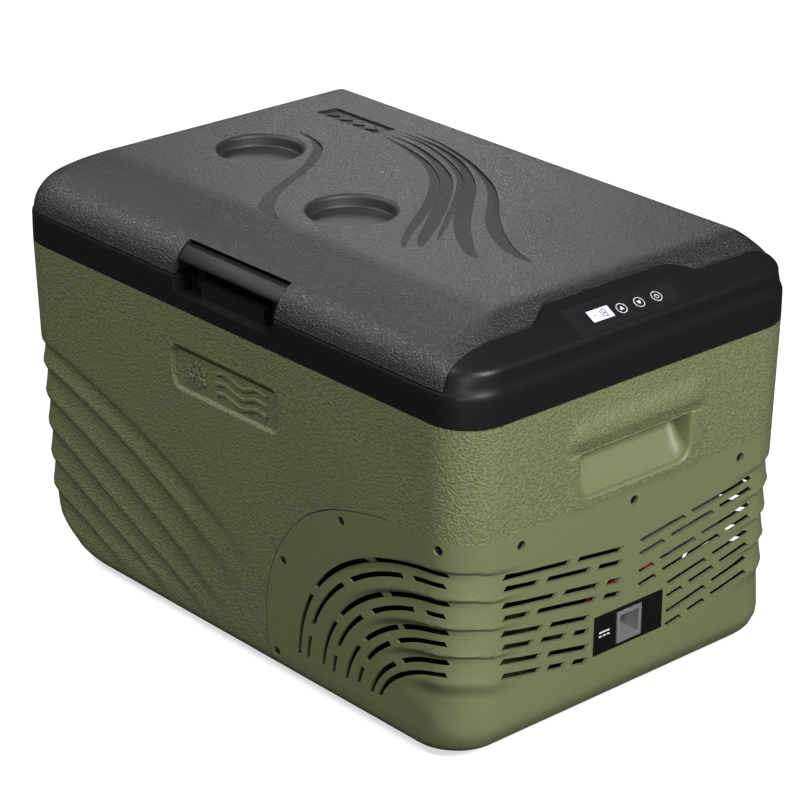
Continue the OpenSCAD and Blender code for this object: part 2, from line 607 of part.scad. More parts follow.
module latch_pin() color("silver") rod_x(pivot_r, [-recess_hw - 2, pivot[0], pivot[1]], 2 * recess_hw + 4);
module latch_spring() color("silver") difference() {
    union() {
        for (k = [0:5]) rod_x(pivot_r + 1.6, [2.4 * k - 7, pivot[0], pivot[1]], 1.2);
        rod_x(pivot_r + 1, [-7, pivot[0], pivot[1]], 13);
        box([-7, pivot[0], pivot[1] + 1.8], [-5.8, pocket_y - 0.2, pivot[1] + 3]);
    }
    rod_x(pivot_r + 0.3, [-9, pivot[0], pivot[1]], 18);
}

// ---- power inlet on the end --------------------------------------------------------------------------
inlet_z = base_z + 72;
inlet_plate_s = [1.2, 79, 35];
face_x = half_l - lean_right * (body_top - inlet_z) / (body_top - base_z);
module inlet_block(g) box([face_x - 26 - g, -inlet_w / 2 - g, inlet_z - inlet_w / 2 - g], [face_x + 2, inlet_w / 2 + g, inlet_z + inlet_w / 2 + g]);
module plate_space(g) box([face_x - 0.8, -inlet_plate_s[1] / 2 - g, inlet_z - inlet_plate_s[2] / 2 - g],
    [face_x + 0.4 + 10 * g, inlet_plate_s[1] / 2 + g, inlet_z + inlet_plate_s[2] / 2 + g]);
module inlet_plate() color([0.08, 0.08, 0.08]) difference() {
    plate_space(0);
    inlet_block(0.2);
}
module dc_inlet() color([0.1, 0.1, 0.1]) difference() {
    box([face_x - 26, -inlet_w / 2, inlet_z - inlet_w / 2], [face_x + 1.3, inlet_w / 2, inlet_z + inlet_w / 2]);
    box([face_x - 22, 3.5 - inlet_w / 2, inlet_z + 3.5 - inlet_w / 2], [face_x + 3, inlet_w / 2 - 3.5, inlet_z - 3.5 + inlet_w / 2]);
    for (y = [-5, 5]) rod_x(1.5, [face_x - 27, y, inlet_z], 10);
}
module inlet_pins() color("gold") for (y = [-5, 5]) rod_x(1.5, [face_x - 30, y, inlet_z], 17);

// ---- cooling machine ------------------------------------------------------------------------------------
comp_at = [half_l - 150, half_w - 96];
comp_z = base_z + 22;
comp_h = 118;
mount_d = [47, 47];
module at_comp_mounts() for (sx = [-1, 1], sy = [-1, 1])
    translate([comp_at[0] + sx * mount_d[0], comp_at[1] + sy * mount_d[1], plate_hi[2]]) children();
module compressor() color([0.12, 0.12, 0.13]) {
    translate([comp_at[0], comp_at[1], comp_z]) rotate_extrude() polygon(concat([[0, 0]],
        arc([comp_r - 14, 14], [14, 14], 270, 360), [[comp_r, 60], [comp_r + 2.5, 60], [comp_r + 2.5, 65], [comp_r, 65]],
        arc([comp_r - 26, comp_h - 26], [26, 26], 0, 90), [[0, comp_h]]));
    difference() {
        translate([comp_at[0] - mount_d[0] - 9, comp_at[1] - mount_d[1] - 9, comp_z - 3])
            cube([2 * mount_d[0] + 18, 2 * mount_d[1] + 18, 3]);
        at_comp_mounts() translate([0, 0, 5]) cylinder(r = 4, h = 20);
    }
    box([comp_at[0] - 16, comp_at[1] - comp_r - 16, comp_z + 30], [comp_at[0] + 16, comp_at[1] - comp_r + 6, comp_z + 58]);
}
module compressor_mounts() color([0.05, 0.05, 0.05]) at_comp_mounts() difference() {
    union() {
        cylinder(r = 8, h = comp_z - 3 - plate_hi[2]);
        cylinder(r = 4, h = comp_z + 1 - plate_hi[2]);
    }
    translate([0, 0, -1]) cylinder(r = 2, h = 40);
}
module compressor_bolts() color("silver") at_comp_mounts() {
    translate([0, 0, -2]) cylinder(r = 2, h = comp_z + 7 - plate_hi[2]);
    translate([0, 0, comp_z + 1 - plate_hi[2]]) cylinder(r = 5, h = 3, $fn = 6);
}

fan_t = 25;
fan_at = [half_l - 140, 70 - half_w, base_z + 22 + fan_w / 2];   // front face of the frame
fan_bore = fan_w / 2 - 3;
module at_fan() translate(fan_at) rotate([-90, 0, 0]) children();
module fan_frame() color([0.09, 0.09, 0.09]) at_fan() difference() {
    union() {
        translate([-fan_w / 2, -fan_w / 2, 0]) cube([fan_w, fan_w, fan_t]);
        translate([-10, fan_w / 2 - 1, 4]) cube([20, fan_at[2] - fan_w / 2 + 1 - plate_hi[2], 16]);
    }
    translate([0, 0, -1]) difference() {
        cylinder(r = fan_bore, h = fan_t + 2);
        translate([0, 0, fan_t - 3]) cylinder(r = 18, h = 4);
        for (a = [0, 90, 180, 270]) rotate(a + 45) translate([-3, 0, fan_t - 2]) cube([6, fan_w, 3]);
    }
    for (x = [-1, 1], y = [-1, 1]) translate([x * (fan_w / 2 - 7.5), y * (fan_w / 2 - 7.5), -1]) cylinder(r = 2.1, h = fan_t + 2);
    translate([0, 0, fan_t - 6]) cylinder(r = 2, h = 8);
}
blades = 7;
module fan_rotor() color([0.16, 0.16, 0.16]) at_fan() {
    difference() {
        translate([0, 0, 2]) cylinder(r = 17, h = fan_t - 8);
        translate([0, 0, 5]) cylinder(r = 15, h = fan_t);
    }
    translate([0, 0, 4]) cylinder(r = 1.95, h = fan_t - 6);
    for (k = [0:blades - 1]) rotate(k * 360 / blades) translate([15.5, 0, 3 + (fan_t - 10) / 2])
        rotate([32, 0, 0]) translate([0, -8.5, -0.8]) cube([fan_bore - 18.5, 17, 1.6]);
}
module fan_screws() color("silver") at_fan() for (x = [-1, 1], y = [-1, 1])
    translate([x * (fan_w / 2 - 7.5), y * (fan_w / 2 - 7.5), -6]) {
        cylinder(r = 2, h = fan_t + 6);
        translate([0, 0, fan_t + 6]) cylinder(r = 3.6, h = 2);
    }

cond_t = 28;
cond_y0 = fan_at[1] - cond_t - 3;
cond_x = [fan_at[0] - fan_w / 2, fan_at[0] + fan_w / 2];
cond_z = [fan_at[2] - fan_w / 2 + 16, fan_at[2] + fan_w / 2 - 16];
cond_fins = 15;
cond_rows = 5;
module condenser() color([0.72, 0.43, 0.28]) {
    for (i = [0:cond_fins - 1]) let (x = cond_x[0] + 4 + i * (cond_x[1] - cond_x[0] - 9) / (cond_fins - 1))
        box([x, cond_y0, cond_z[0]], [x + 1, cond_y0 + cond_t, cond_z[1]]);
    for (x = [cond_x[0], cond_x[1] - 1.5]) box([x, cond_y0, fan_at[2] - fan_w / 2 + 2], [x + 1.5, fan_at[1], fan_at[2] + fan_w / 2 - 2]);
    for (s = [-1, 1]) difference() {
        translate([fan_at[0], fan_at[1] - 1.5, fan_at[2] + s * (fan_w / 2 - 7.5)]) cube([fan_w, 3, 11], center = true);
        for (x = [-1, 1]) translate([fan_at[0] + x * (fan_w / 2 - 7.5), fan_at[1] - 4, fan_at[2] + s * (fan_w / 2 - 7.5)])
            rotate([-90, 0, 0]) cylinder(r = 2, h = 5);
    }
    for (k = [0:cond_rows - 1], y = [8, 20])
        rod_x(3.5, [cond_x[0] - 8, cond_y0 + y, cond_row_z(k)], cond_x[1] - cond_x[0] + 16);
    for (k = [0:cond_rows - 1], x = [cond_x[0] - 8, cond_x[1] + 8]) rod_y(3.5, [x, cond_y0 + 8, cond_row_z(k)], 12);
    for (k = [0:cond_rows - 2]) let (x = k % 2 == 0 ? cond_x[1] + 8 : cond_x[0] - 8)
        rod([0, 0, 0], 3.5, cond_row_z(k + 1) - cond_row_z(k), [x, cond_y0 + 14, cond_row_z(k)]);
}
function cond_row_z(k) = cond_z[0] + 12 + k * (cond_z[1] - cond_z[0] - 24) / (cond_rows - 1);

// A bent pipe: straight runs, with a ball a little fatter than the pipe at each corner
module pipe(path, r) {
    for (i = [0:len(path) - 2]) let (d = path[i + 1] - path[i], h = norm(d))
        translate(path[i]) rotate([0, acos(d[2] / h), atan2(d[1], d[0])]) cylinder(r = r, h = h, $fn = 24);
    for (i = [1:len(path) - 2]) translate(path[i]) sphere(r = r * 1.12, $fn = 24);
}
pipe_y = 50;
pipe_z = deep_z0 - 20 + coil_z[3];           // level of the top turn of the cold coil
coil_face = deep_x1 + plate_t + 2 * coil_r;
cap_y = pipe_y - 14;
cap_r = 1.2;
pipe_color = [0.72, 0.43, 0.28];
drier_at = [cond_x[0] - 8, half_w - 190, base_z + 100];
module filter_drier() color(pipe_color) translate(drier_at) rotate_extrude()
    polygon([[0, -34], [3, -34], [3, -28], [9, -20], [9, 20], [3, 28], [3, 34], [0, 34]]);
module discharge_pipe() color(pipe_color)
    pipe([[comp_at[0] + 20, comp_at[1], comp_z + comp_h], [comp_at[0] + 20, comp_at[1], comp_z + comp_h + 10],
          [cond_x[1] + 16, comp_at[1] - 40, comp_z + comp_h + 10], [cond_x[1] + 16, cond_y0 + 14, comp_z + comp_h + 4],
          [cond_x[1] + 16, cond_y0 + 14, cond_row_z(cond_rows - 1)], [cond_x[1] + 11.5, cond_y0 + 14, cond_row_z(cond_rows - 1)]], 3);
module liquid_pipe() color(pipe_color) {
    pipe([[drier_at[0], cond_y0 + 23.5, cond_row_z(0)], [drier_at[0], drier_at[1], cond_row_z(0)], drier_at - [0, 0, 34]], 3);
    pipe([drier_at + [0, 0, 34], [drier_at[0], drier_at[1], pipe_z], [drier_at[0], cap_y, pipe_z], [coil_face, cap_y, pipe_z]], cap_r);
}
module suction_pipe() color(pipe_color)
    pipe([[coil_face, pipe_y, pipe_z], [comp_at[0] - 20, pipe_y, pipe_z], [comp_at[0] - 20, comp_at[1] - 10, pipe_z],
          [comp_at[0] - 20, comp_at[1] - 10, comp_z + comp_h]], 3.5);

module_lo = [half_l - 46, half_w - 162, base_z + 108];
module_s = [26, 96, end_screw_z - 10 - module_lo[2]];
module control_module() color([0.62, 0.63, 0.65]) difference() {
    translate(module_lo) cube(module_s);
    for (k = [0:8]) translate(module_lo + [-1, 6 + 10 * k, -1]) cube([13, 5, module_s[2] + 2]);
}
module wiring() {
    color([0.7, 0.08, 0.06]) pipe([[face_x - 30, -5, inlet_z], [face_x - 44, -5, inlet_z], [face_x - 44, 4, inlet_z + 20],
        [module_lo[0] + 16, module_lo[1] + 12, module_lo[2] - 6], [module_lo[0] + 16, module_lo[1] + 12, module_lo[2]]], 1.6);
    color([0.05, 0.05, 0.05]) pipe([[face_x - 30, 5, inlet_z], [face_x - 38, 5, inlet_z], [face_x - 38, 14, inlet_z + 16],
        [module_lo[0] + 20, module_lo[1] + 24, module_lo[2] - 8], [module_lo[0] + 20, module_lo[1] + 24, module_lo[2]]], 1.6);
}

outer_shell();
bay_frame();
machine_cover();
cover_screws();
top_trim();
inner_liner();
foam_body();
base_plate();
feet();
foot_screws();
lid();
lid_liner();
lid_foam();
lid_gasket();
hinge_leaf_left();
hinge_leaf_right();
hinge_pin_left();
hinge_pin_right();
hinge_screws();
latch_handle();
latch_pin();
latch_spring();
latch_strike();
nameplate();
front_emblem();
control_panel();
display();
button_up();
button_down();
button_power();
panel_board();
inlet_plate();
dc_inlet();
inlet_pins();
evaporator_plate();
evaporator_coil();
temp_sensor();
compressor();
compressor_mounts();
compressor_bolts();
condenser();
fan_frame();
fan_rotor();
fan_screws();
filter_drier();
discharge_pipe();
liquid_pipe();
suction_pipe();
control_module();
wiring();
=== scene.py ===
# %% [markdown]
# A portable compressor cooler: a moulded green body with a black trim band, a textured lid,
# a sloped key panel and a slotted cover over the machine at one end.
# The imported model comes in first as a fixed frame. Every piece made here is placed by its sizes.

# %% Load the frame
import bpy, bmesh, math
from math import cos, radians, sin
import numpy as np
from mathutils import Vector, Matrix


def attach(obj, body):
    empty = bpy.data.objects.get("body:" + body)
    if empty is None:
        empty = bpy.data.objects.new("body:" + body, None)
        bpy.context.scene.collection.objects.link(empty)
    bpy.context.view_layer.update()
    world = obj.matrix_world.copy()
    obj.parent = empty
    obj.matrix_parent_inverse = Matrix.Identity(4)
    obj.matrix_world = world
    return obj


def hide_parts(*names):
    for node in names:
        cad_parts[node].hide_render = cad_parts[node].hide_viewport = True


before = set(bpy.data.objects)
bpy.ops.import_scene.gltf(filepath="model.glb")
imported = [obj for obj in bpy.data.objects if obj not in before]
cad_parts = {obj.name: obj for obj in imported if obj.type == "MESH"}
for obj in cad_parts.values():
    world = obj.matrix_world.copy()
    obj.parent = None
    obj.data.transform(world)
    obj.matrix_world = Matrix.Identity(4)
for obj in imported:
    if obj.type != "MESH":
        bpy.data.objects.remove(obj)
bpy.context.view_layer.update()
MM = 0.001

# %% [markdown]
# The camera stands to the front right and above, far off, with a long lens, as for a product picture.
# The floor and the world are near white, so that the object stands in a bright studio.
# One large lamp at the machine end and one over the lid give the long soft shine on the corners.

# %% Camera
def turn_to(look_x, look_y, look_z, roll):
    """Rotation of a camera from its compass turn, its downward tilt and its roll, in degrees."""
    across = Vector((look_y, -look_x, 0)).normalized()
    ahead = Vector((look_x, look_y, look_z)).normalized()
    up = across.cross(ahead)
    basis = Matrix((across, up, -ahead)).transposed()
    return (basis @ Matrix.Rotation(radians(roll), 3, "Z")).to_euler()

heading, tilt = radians(48.145), radians(23.634)
camera_data = bpy.data.cameras.new("studio_camera")
camera_data.lens, camera_data.sensor_width = 137.24, 36
camera_data.clip_start, camera_data.clip_end = 0.1, 50
camera = bpy.data.objects.new("studio_camera", camera_data)
camera.location = Vector((1.8062, -1.6121, 1.2397))
camera.rotation_euler = turn_to(-sin(heading) * cos(tilt), cos(heading) * cos(tilt),
                                -sin(tilt), 0.382)
bpy.context.scene.collection.objects.link(camera)
bpy.context.scene.camera = camera

# %% Lamps, floor and world
def lamp(name, place, aim, size, watts, tint=(1, 1, 1)):
    data = bpy.data.lights.new(name, "AREA")
    data.shape, data.size, data.size_y = "RECTANGLE", size[0], size[1]
    data.energy, data.color = watts, tint
    made = bpy.data.objects.new(name, data)
    made.location = place
    made.rotation_euler = (Vector(aim) - Vector(place)).to_track_quat("-Z", "Y").to_euler()
    bpy.context.scene.collection.objects.link(made)

lamp("end_lamp", (2.3, -0.3, 1.75), (0.25, 0, 0.15), (0.8, 0.8), 110)
lamp("edge_strip", (-1.95, -0.82, 2.1), (0, -0.17, 0.35), (1.5, 0.28), 30)
lamp("back_panel", (-2.15, 2.0, 1.6), (0.02, 0, 0.36), (0.8, 0.7), 13)
lamp("corner_lamp", (1.75, -1.95, 0.7), (0.25, -0.15, 0.15), (0.45, 0.8), 16)
lamp("front_lamp", (-0.7, -1.9, 2.7), (0, -0.15, 0.15), (0.5, 0.5), 44)

world = bpy.data.worlds.new("studio")
world.use_nodes = True
sky, links = world.node_tree.nodes, world.node_tree.links
upward, height, fall = sky.new("ShaderNodeTexCoord"), sky.new("ShaderNodeSeparateXYZ"), sky.new("ShaderNodeValToRGB")
fall.color_ramp.elements[0].position, fall.color_ramp.elements[0].color = 0.40, (1, 1, 1, 1)
below = fall.color_ramp.elements.new(0.02)
below.color = (1, 1, 1, 1)
ground = fall.color_ramp.elements.new(0.0)
ground.color = (0.5, 0.5, 0.5, 1)
fall.color_ramp.elements[1].position, fall.color_ramp.elements[1].color = 0.72, (0.35, 0.35, 0.36, 1)
links.new(upward.outputs["Generated"], height.inputs[0])
links.new(height.outputs["Z"], fall.inputs[0])
links.new(fall.outputs[0], sky["Background"].inputs["Color"])
sky["Background"].inputs["Strength"].default_value = 0.12
bpy.context.scene.world = world
bpy.context.scene.view_settings.view_transform = "Standard"

# %% [markdown]
# Finishes are written as sums. A Wire is one output of a shader node that can be added, multiplied
# and compared like a number, so that a grain pattern reads as plain arithmetic.
# A Finish is one material: it starts a Principled shader and reads Object coordinates.

# %% Shader arithmetic
class Wire:
    """One output socket, with arithmetic that adds Math nodes."""
    def __init__(self, finish, socket):
        self.finish, self.socket = finish, socket
    def sum(self, operation, *others):
        return self.finish.node("ShaderNodeMath", {"operation": operation}, self, *others)
    def __add__(self, other): return self.sum("ADD", other)
    def __mul__(self, other): return self.sum("MULTIPLY", other)
    __radd__, __rmul__ = __add__, __mul__
    def __sub__(self, other): return self.sum("SUBTRACT", other)
    def __rsub__(self, other):
        return self.finish.node("ShaderNodeMath", {"operation": "SUBTRACT"}, other, self)
    def ramp(self, low, high):
        """0 below low, 1 above high, smooth between."""
        return self.finish.node("ShaderNodeMapRange", {"interpolation_type": "SMOOTHSTEP"}, self, low, high, 0.0, 1.0)

class Finish:
    """One material around a Principled shader. Constants go straight onto the shader's own sockets."""
    def __init__(self, name, color, roughness, **constants):
        self.material = bpy.data.materials.new(name)
        self.material.use_nodes = True
        self.tree = self.material.node_tree
        self.shader = next(n for n in self.tree.nodes if n.type == "BSDF_PRINCIPLED")
        self.color = tuple(color) + (1,)
        self.put("Base Color", self.color)
        self.put("Roughness", roughness)
        for socket, value in constants.items():
            self.put(socket.replace("_", " "), value)
        self.place = self.node("ShaderNodeTexCoord", {"out": "Object"})
    def put(self, socket, value):
        socket = self.shader.inputs[socket] if isinstance(socket, str) else socket
        if isinstance(value, Wire):
            self.tree.links.new(value.socket, socket)
        else:
            socket.default_value = value
    def node(self, kind, settings, *values, **named):
        made = self.tree.nodes.new(kind)
        for key, setting in settings.items():
            if key != "out":
                setattr(made, key, setting)
        for index, value in enumerate(values):
            self.put(made.inputs[index], value)
        for key, value in named.items():
            self.put(made.inputs[key.replace("_", " ")], value)
        return Wire(self, made.outputs[settings.get("out", 0)])
    def noise(self, scale, detail=2.0, roughness=0.5, place=None):
        return self.node("ShaderNodeTexNoise", {}, Vector=place or self.place, Scale=scale,
                         Detail=detail, Roughness=roughness)
    def mix(self, amount, first, second):
        """Blend of two colours."""
        made = self.tree.nodes.new("ShaderNodeMix")
        made.data_type = "RGBA"
        for socket, value in zip((0, 6, 7), (amount, first, second)):
            self.put(made.inputs[socket], value)
        return Wire(self, made.outputs[2])
    def bump(self, height, depth, strength=1.0):
        self.put("Normal", self.node("ShaderNodeBump", {}, Strength=strength, Distance=depth, Height=height))

# %% [markdown]
# Moulded grain is a field of small rounded pebbles, about 2 mm across, that comes from an etched
# mould. Two noises of different size, pushed through a soft step, give pebbles with flat tops and
# narrow valleys. The same recipe with a finer size makes the smoother panels.

# %% Grained plastic
def tinted(color, factor):
    return tuple(min(1.0, c * factor) for c in color) + (1,)

def grained(name, color, roughness, size, depth, mottle_and_sheen=0.06, **constants):
    """A moulded plastic with pebble grain: size in millimetres, depth of the bump in millimetres. Its colour swing is
    part random tone and part painted highlight that lightens the pebble tops.
    """
    finish = Finish(name, color, roughness, **constants)
    pebbles = finish.noise(1000 / size, 2.0, 0.55).ramp(0.36, 0.62)
    fine = finish.noise(2600 / size, 1.0, 0.5)
    broad = finish.noise(9.0, 2.0, 0.5)
    finish.bump(pebbles * 0.75 + fine * 0.25, depth * MM)
    # Colour mottle: part random tone, part painted highlight, with the pebble tops painted lighter to stand in for
    # the speckled sheen of the grain.
    tone_and_painted_sheen = (pebbles * 0.55 + broad * 0.45).ramp(0.2, 0.8)
    finish.put("Base Color", finish.mix(tone_and_painted_sheen, tinted(color, 1 - mottle_and_sheen), tinted(color, 1 + mottle_and_sheen)))
    finish.put("Roughness", roughness + (fine - 0.5) * 0.12 + (broad - 0.5) * 0.06)
    return finish.material

OLIVE = (0.122, 0.140, 0.066)
shell_finish = grained("shell_green", OLIVE, 0.50, 2.2, 0.55, 0.13, Specular_IOR_Level=0.4)
cover_finish = grained("cover_green", OLIVE, 0.50, 1.0, 0.02, 0.03, Specular_IOR_Level=0.4)
lid_finish = grained("lid_grey", (0.017, 0.0174, 0.0178), 0.38, 1.8, 0.5, 0.3)
trim_finish = grained("trim_black", (0.006, 0.006, 0.0063), 0.42, 1.2, 0.03, 0.05, Specular_IOR_Level=0.26)
print("grained finishes", [m.name for m in (shell_finish, cover_finish, lid_finish, trim_finish)])

# %% The floor
floor_finish = Finish("studio_floor", (0.6, 0.6, 0.6), 0.7)
floor_finish.put("Emission Color", (1, 1, 1, 1))
floor_finish.put("Emission Strength", 0.62)
floor_mesh = bmesh.new()
bmesh.ops.create_grid(floor_mesh, x_segments=1, y_segments=1, size=12)
floor_data = bpy.data.meshes.new("studio_floor")
floor_mesh.to_mesh(floor_data)
floor_mesh.free()
floor_data.materials.append(floor_finish.material)
floor = bpy.data.objects.new("studio_floor", floor_data)
bpy.context.scene.collection.objects.link(floor)
floor.visible_diffuse = floor.visible_glossy = False

# %% [markdown]
# Two helpers carry the modelling. `sheet` makes a grid of faces with bmesh and lays each corner
# where a shape function says, so that a broad moulded surface can have soft waves and steps.
# `carve` joins and cuts finished pieces with Boolean modifiers, which gives crisp slot edges.

# %% Mesh helpers
def sheet(columns, rows, shape, closed=False):
    """A grid whose corners are placed by shape(u, v) in millimetres, u and v from 0 to 1."""
    bm = bmesh.new()
    bmesh.ops.create_grid(bm, x_segments=columns, y_segments=rows, size=0.5)
    at = np.array([v.co[:2] for v in bm.verts]) + 0.5
    for vert, place in zip(bm.verts, shape(at[:, 0], at[:, 1])):
        vert.co = place
    if closed:
        bmesh.ops.remove_doubles(bm, verts=bm.verts, dist=1e-4)
    return bm

def cap(bm):
    """Closes every open rim with a face and turns all faces outwards."""
    rims = [e for e in bm.edges if e.is_boundary]
    bmesh.ops.holes_fill(bm, edges=rims, sides=0)
    bmesh.ops.recalc_face_normals(bm, faces=bm.faces)
    return bm

def block(low, high, bm=None):
    """A box from low to high in millimetres, added to bm."""
    bm = bm or bmesh.new()
    made = bmesh.ops.create_cube(bm, size=1)["verts"]
    low, high = Vector(low), Vector(high)
    for vert in made:
        vert.co = Vector([low[i] + (vert.co[i] + 0.5) * (high[i] - low[i]) for i in range(3)])
    return bm

def laid(axis, pair, depth):
    """The point of a flat outline at a depth along an axis."""
    return {"x": (depth, *pair), "y": (pair[0], depth, pair[1]), "z": (*pair, depth)}[axis]

def prism(outline, axis, start, end, bm=None):
    """A closed outline, pairs in millimetres, pushed along an axis: 'x' takes (y, z), 'y' (x, z), 'z' (x, y)."""
    bm = bm or bmesh.new()
    face = bm.faces.new([bm.verts.new(laid(axis, pair, start)) for pair in outline])
    pushed = bmesh.ops.extrude_face_region(bm, geom=[face])["geom"]
    step = Vector(laid(axis, (0, 0), end)) - Vector(laid(axis, (0, 0), start))
    bmesh.ops.translate(bm, vec=step, verts=[g for g in pushed if isinstance(g, bmesh.types.BMVert)])
    bmesh.ops.recalc_face_normals(bm, faces=bm.faces)
    return bm

def piece(bm, name, finish=None, body=None, replaces=(), crease=30, scale=MM):
    """Turns a bmesh in millimetres into a finished object that rides on a body."""
    if scale != 1:
        bmesh.ops.scale(bm, vec=(scale,) * 3, verts=bm.verts)
    for face in bm.faces:
        face.smooth = True
    for edge in bm.edges:
        if len(edge.link_faces) == 2 and edge.calc_face_angle(0) > radians(crease):
            edge.smooth = False
    mesh = bpy.data.meshes.new(name)
    bm.to_mesh(mesh)
    bm.free()
    made = bpy.data.objects.new(name, mesh)
    bpy.context.scene.collection.objects.link(made)
    for one in (finish if isinstance(finish, list) else [finish]):
        if one:
            mesh.materials.append(one)
    if body:
        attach(made, body)
        if replaces:
            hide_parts(*replaces)
        print(name, len(mesh.polygons), "faces")
    return made

CUT, JOIN, KEEP = "DIFFERENCE", "UNION", "INTERSECT"

def carve(bm, *steps, base=None):
    """Applies Boolean steps, (operation, cutter in mm, finish of the cut faces), and returns the result in mm."""
    work = piece(bm, "work", base, scale=1)
    finishes, tools = [base], []
    for operation, cutter, *finish in steps:
        tool = piece(cutter, "tool", finish[0] if finish else base, scale=1)
        tools.append(tool)
        modifier = work.modifiers.new(operation, "BOOLEAN")
        modifier.operation, modifier.object, modifier.solver = operation, tool, "MANIFOLD"
        modifier.material_mode = "TRANSFER"
        if finish and finish[0] not in finishes:
            finishes.append(finish[0])
    bpy.context.view_layer.update()
    shaped = bpy.data.meshes.new_from_object(work.evaluated_get(bpy.context.evaluated_depsgraph_get()))
    order = [finishes.index(m) if m in finishes else 0 for m in shaped.materials]
    for face in shaped.polygons:
        face.material_index = order[face.material_index] if order else 0
    out = bmesh.new()
    out.from_mesh(shaped)
    for made in [work] + tools:
        data = made.data
        bpy.data.objects.remove(made)
        bpy.data.meshes.remove(data)
    bpy.data.meshes.remove(shaped)
    return out

# %% [markdown]
# The body is a deep tub with upright rounded corners. Each level is a rounded rectangle that leans
# in a little towards the floor and rolls under it in a quarter round. One end sweeps up, which shows
# in its wider round. A ring of columns around and rows down gives every point of that surface.

# %% Body sizes and its level curves
HALF_L, HALF_W, CORNER = 290.0, 189.0, 39.0
BODY_TOP, BAND_TOP, FLOOR = 297.0, 325.0, 5.0

def smooth(low, high, value):
    t = np.clip((value - low) / (high - low), 0, 1)
    return t * t * (3 - 2 * t)

def half_size(half, lean, foot, z):
    """Half extent at height z: a straight lean, then an elliptic round of foot = (across, up)."""
    level = np.clip((FLOOR + foot[1] - z) / foot[1], 0, 1)
    straight = lean * np.clip((BODY_TOP - z) / (BODY_TOP - FLOOR - foot[1]), 0, 1)
    return half - straight - foot[0] * (1 - np.sqrt(np.clip(1 - level ** 2, 0, 1)))

def ring(side, part, left, right, half_w, corner):
    """Point and outward direction on a rounded rectangle. Sides run 0 front, 1 corner, 2 machine end,
    3 corner, 4 back, 5 corner, 6 plain end, 7 corner; part is the share of the way along that side."""
    x0, x1, y1 = left + corner, right - corner, half_w - corner
    start = np.choose(side, [x0, x1, right, x1, x1, x0, left, x0])
    turn = np.radians(np.choose(side, [-90 + 0 * part, -90 + 90 * part, 0 * part, 90 * part, 90 + 0 * part,
                                       90 + 90 * part, 180 + 0 * part, 180 + 90 * part]))
    centre_x = np.choose(side, [x0 + (x1 - x0) * part, x1, x1, x1, x1 + (x0 - x1) * part, x0, x0, x0])
    centre_y = np.choose(side, [-y1, -y1, -y1 + 2 * y1 * part, y1, y1, y1, y1 - 2 * y1 * part, -y1])
    out = np.stack([np.cos(turn), np.sin(turn)], 1)
    return centre_x + corner * out[:, 0], centre_y + corner * out[:, 1], out

# %% [markdown]
# The moulded relief is a set of overlapping scales. Each scale slopes out as it goes down, then
# steps back in under its lip. On the plain end's side they run down in long slanted lines; round the
# machine end they follow the arcs of the slots. A saw-tooth with a soft step gives their section.

# %% Relief of the body
def scale_step(index, depth):
    """Inward depth of a scale: index counts the scales downwards, each lip at a whole number."""
    share = index - np.floor(index)
    return -depth * smooth(0.0, 0.34, share) * (1 - share) ** 0.8

def slanted_waves(x, y, z):
    """The long slanted scales at the plain end, the same on both long sides."""
    lips = [(204, .22, .0006), (181, .25, .0007), (151, .34, .0006), (121, .46, 0), (91, .44, -.0001),
            (62, .40, 0), (36, .4, 0)]                 # height at x = -246, slope, bend
    run = np.where(x < -246, -0.35 * np.hypot(x + 246, np.abs(y) - 189), x + 246)
    levels = [zed - a * run - b * run * np.abs(run) for zed, a, b in lips]
    index = np.full_like(x, -1.0)
    for k in range(len(levels) - 1):
        inside = (z <= levels[k]) & (z > levels[k + 1])
        index = np.where(inside, k + (levels[k] - z) / (levels[k] - levels[k + 1]), index)
    fade = (1 - smooth(-80, 60, x + 0.25 * (200 - z))) * smooth(12, 45, z) * smooth(60, 130, np.abs(y))
    return np.where(index >= 0, scale_step(index, 4.6), 0) * fade

def arc_index(x, z):
    """Number of the slot row whose arc passes through a point of the long side, 0 for the top one."""
    across, up = np.abs(HALF_L - x), np.clip(z - 20, 0.1, None)
    low, high = np.full_like(x, -8.0), np.full_like(x, 11.5)
    for _ in range(24):
        mid = (low + high) / 2
        size = (across / (203 - 12.4 * mid)) ** 2.15 + (up / (155 - 12.4 * mid)) ** 2.15
        low, high = np.where(size < 1, mid, low), np.where(size < 1, high, mid)
    return (low + high) / 2

def machine_scales(x, y, z):
    """The stacked scales that follow the slot arcs and wrap the corners of the machine end."""
    row = arc_index(np.minimum(x, HALF_L), z + 0.1 * np.clip(189 - np.abs(y), 0, 60) * smooth(280, 290, x))
    index = (row + 0.15) / 2
    angle = np.degrees(np.arctan2(np.clip(z - 20, 0, None) / 130, np.abs(HALF_L - x) / 180))
    fade = smooth(30, 60, angle) * np.where(x > 251, smooth(112, 160, np.abs(y)), 1)
    depth = np.where(index > 4, 3.4 * (1 - smooth(4.2, 6.5, index)), 4.0)
    share = np.where(index > 4, 0.35 * np.clip(index - 4, 0, 2), index - np.floor(index))
    step = -depth * smooth(0.0, 0.2, share) * (1 - np.clip(share, 0, 1)) ** 0.75
    return np.where((index > 0) & (index < 6.5), step, 0) * fade * (x > 100)

def handle_hood(y, z):
    """The hood over a finger slot: a bulge whose lower face slants back to the slot."""
    across = 1 - smooth(66, 80, np.abs(y) + 0.35 * np.clip(z - 262, 0, 30))
    upright = np.where(z > 259.5, 1 - smooth(264, 281, z), np.where(z > 247, 1 - 1.3 * (259.5 - z) / 12.5, 0))
    rim = (1 - smooth(70, 78, np.abs(y))) * smooth(196, 203, z) * (z <= 247)
    return 3.8 * across * upright + 0.9 * rim

def relief(x, y, z):
    end = smooth(255, 285, np.abs(x)) * (np.abs(y) < 100)
    return slanted_waves(x, y, z) + machine_scales(x, y, z) + handle_hood(y, z) * end

# %% [markdown]
# Body and cover come from the same surface, so their relief runs on across the seam. The wall is
# 3 mm thick: coarse rows inside, fine rows outside, both ends of the tube closed by a flat floor.

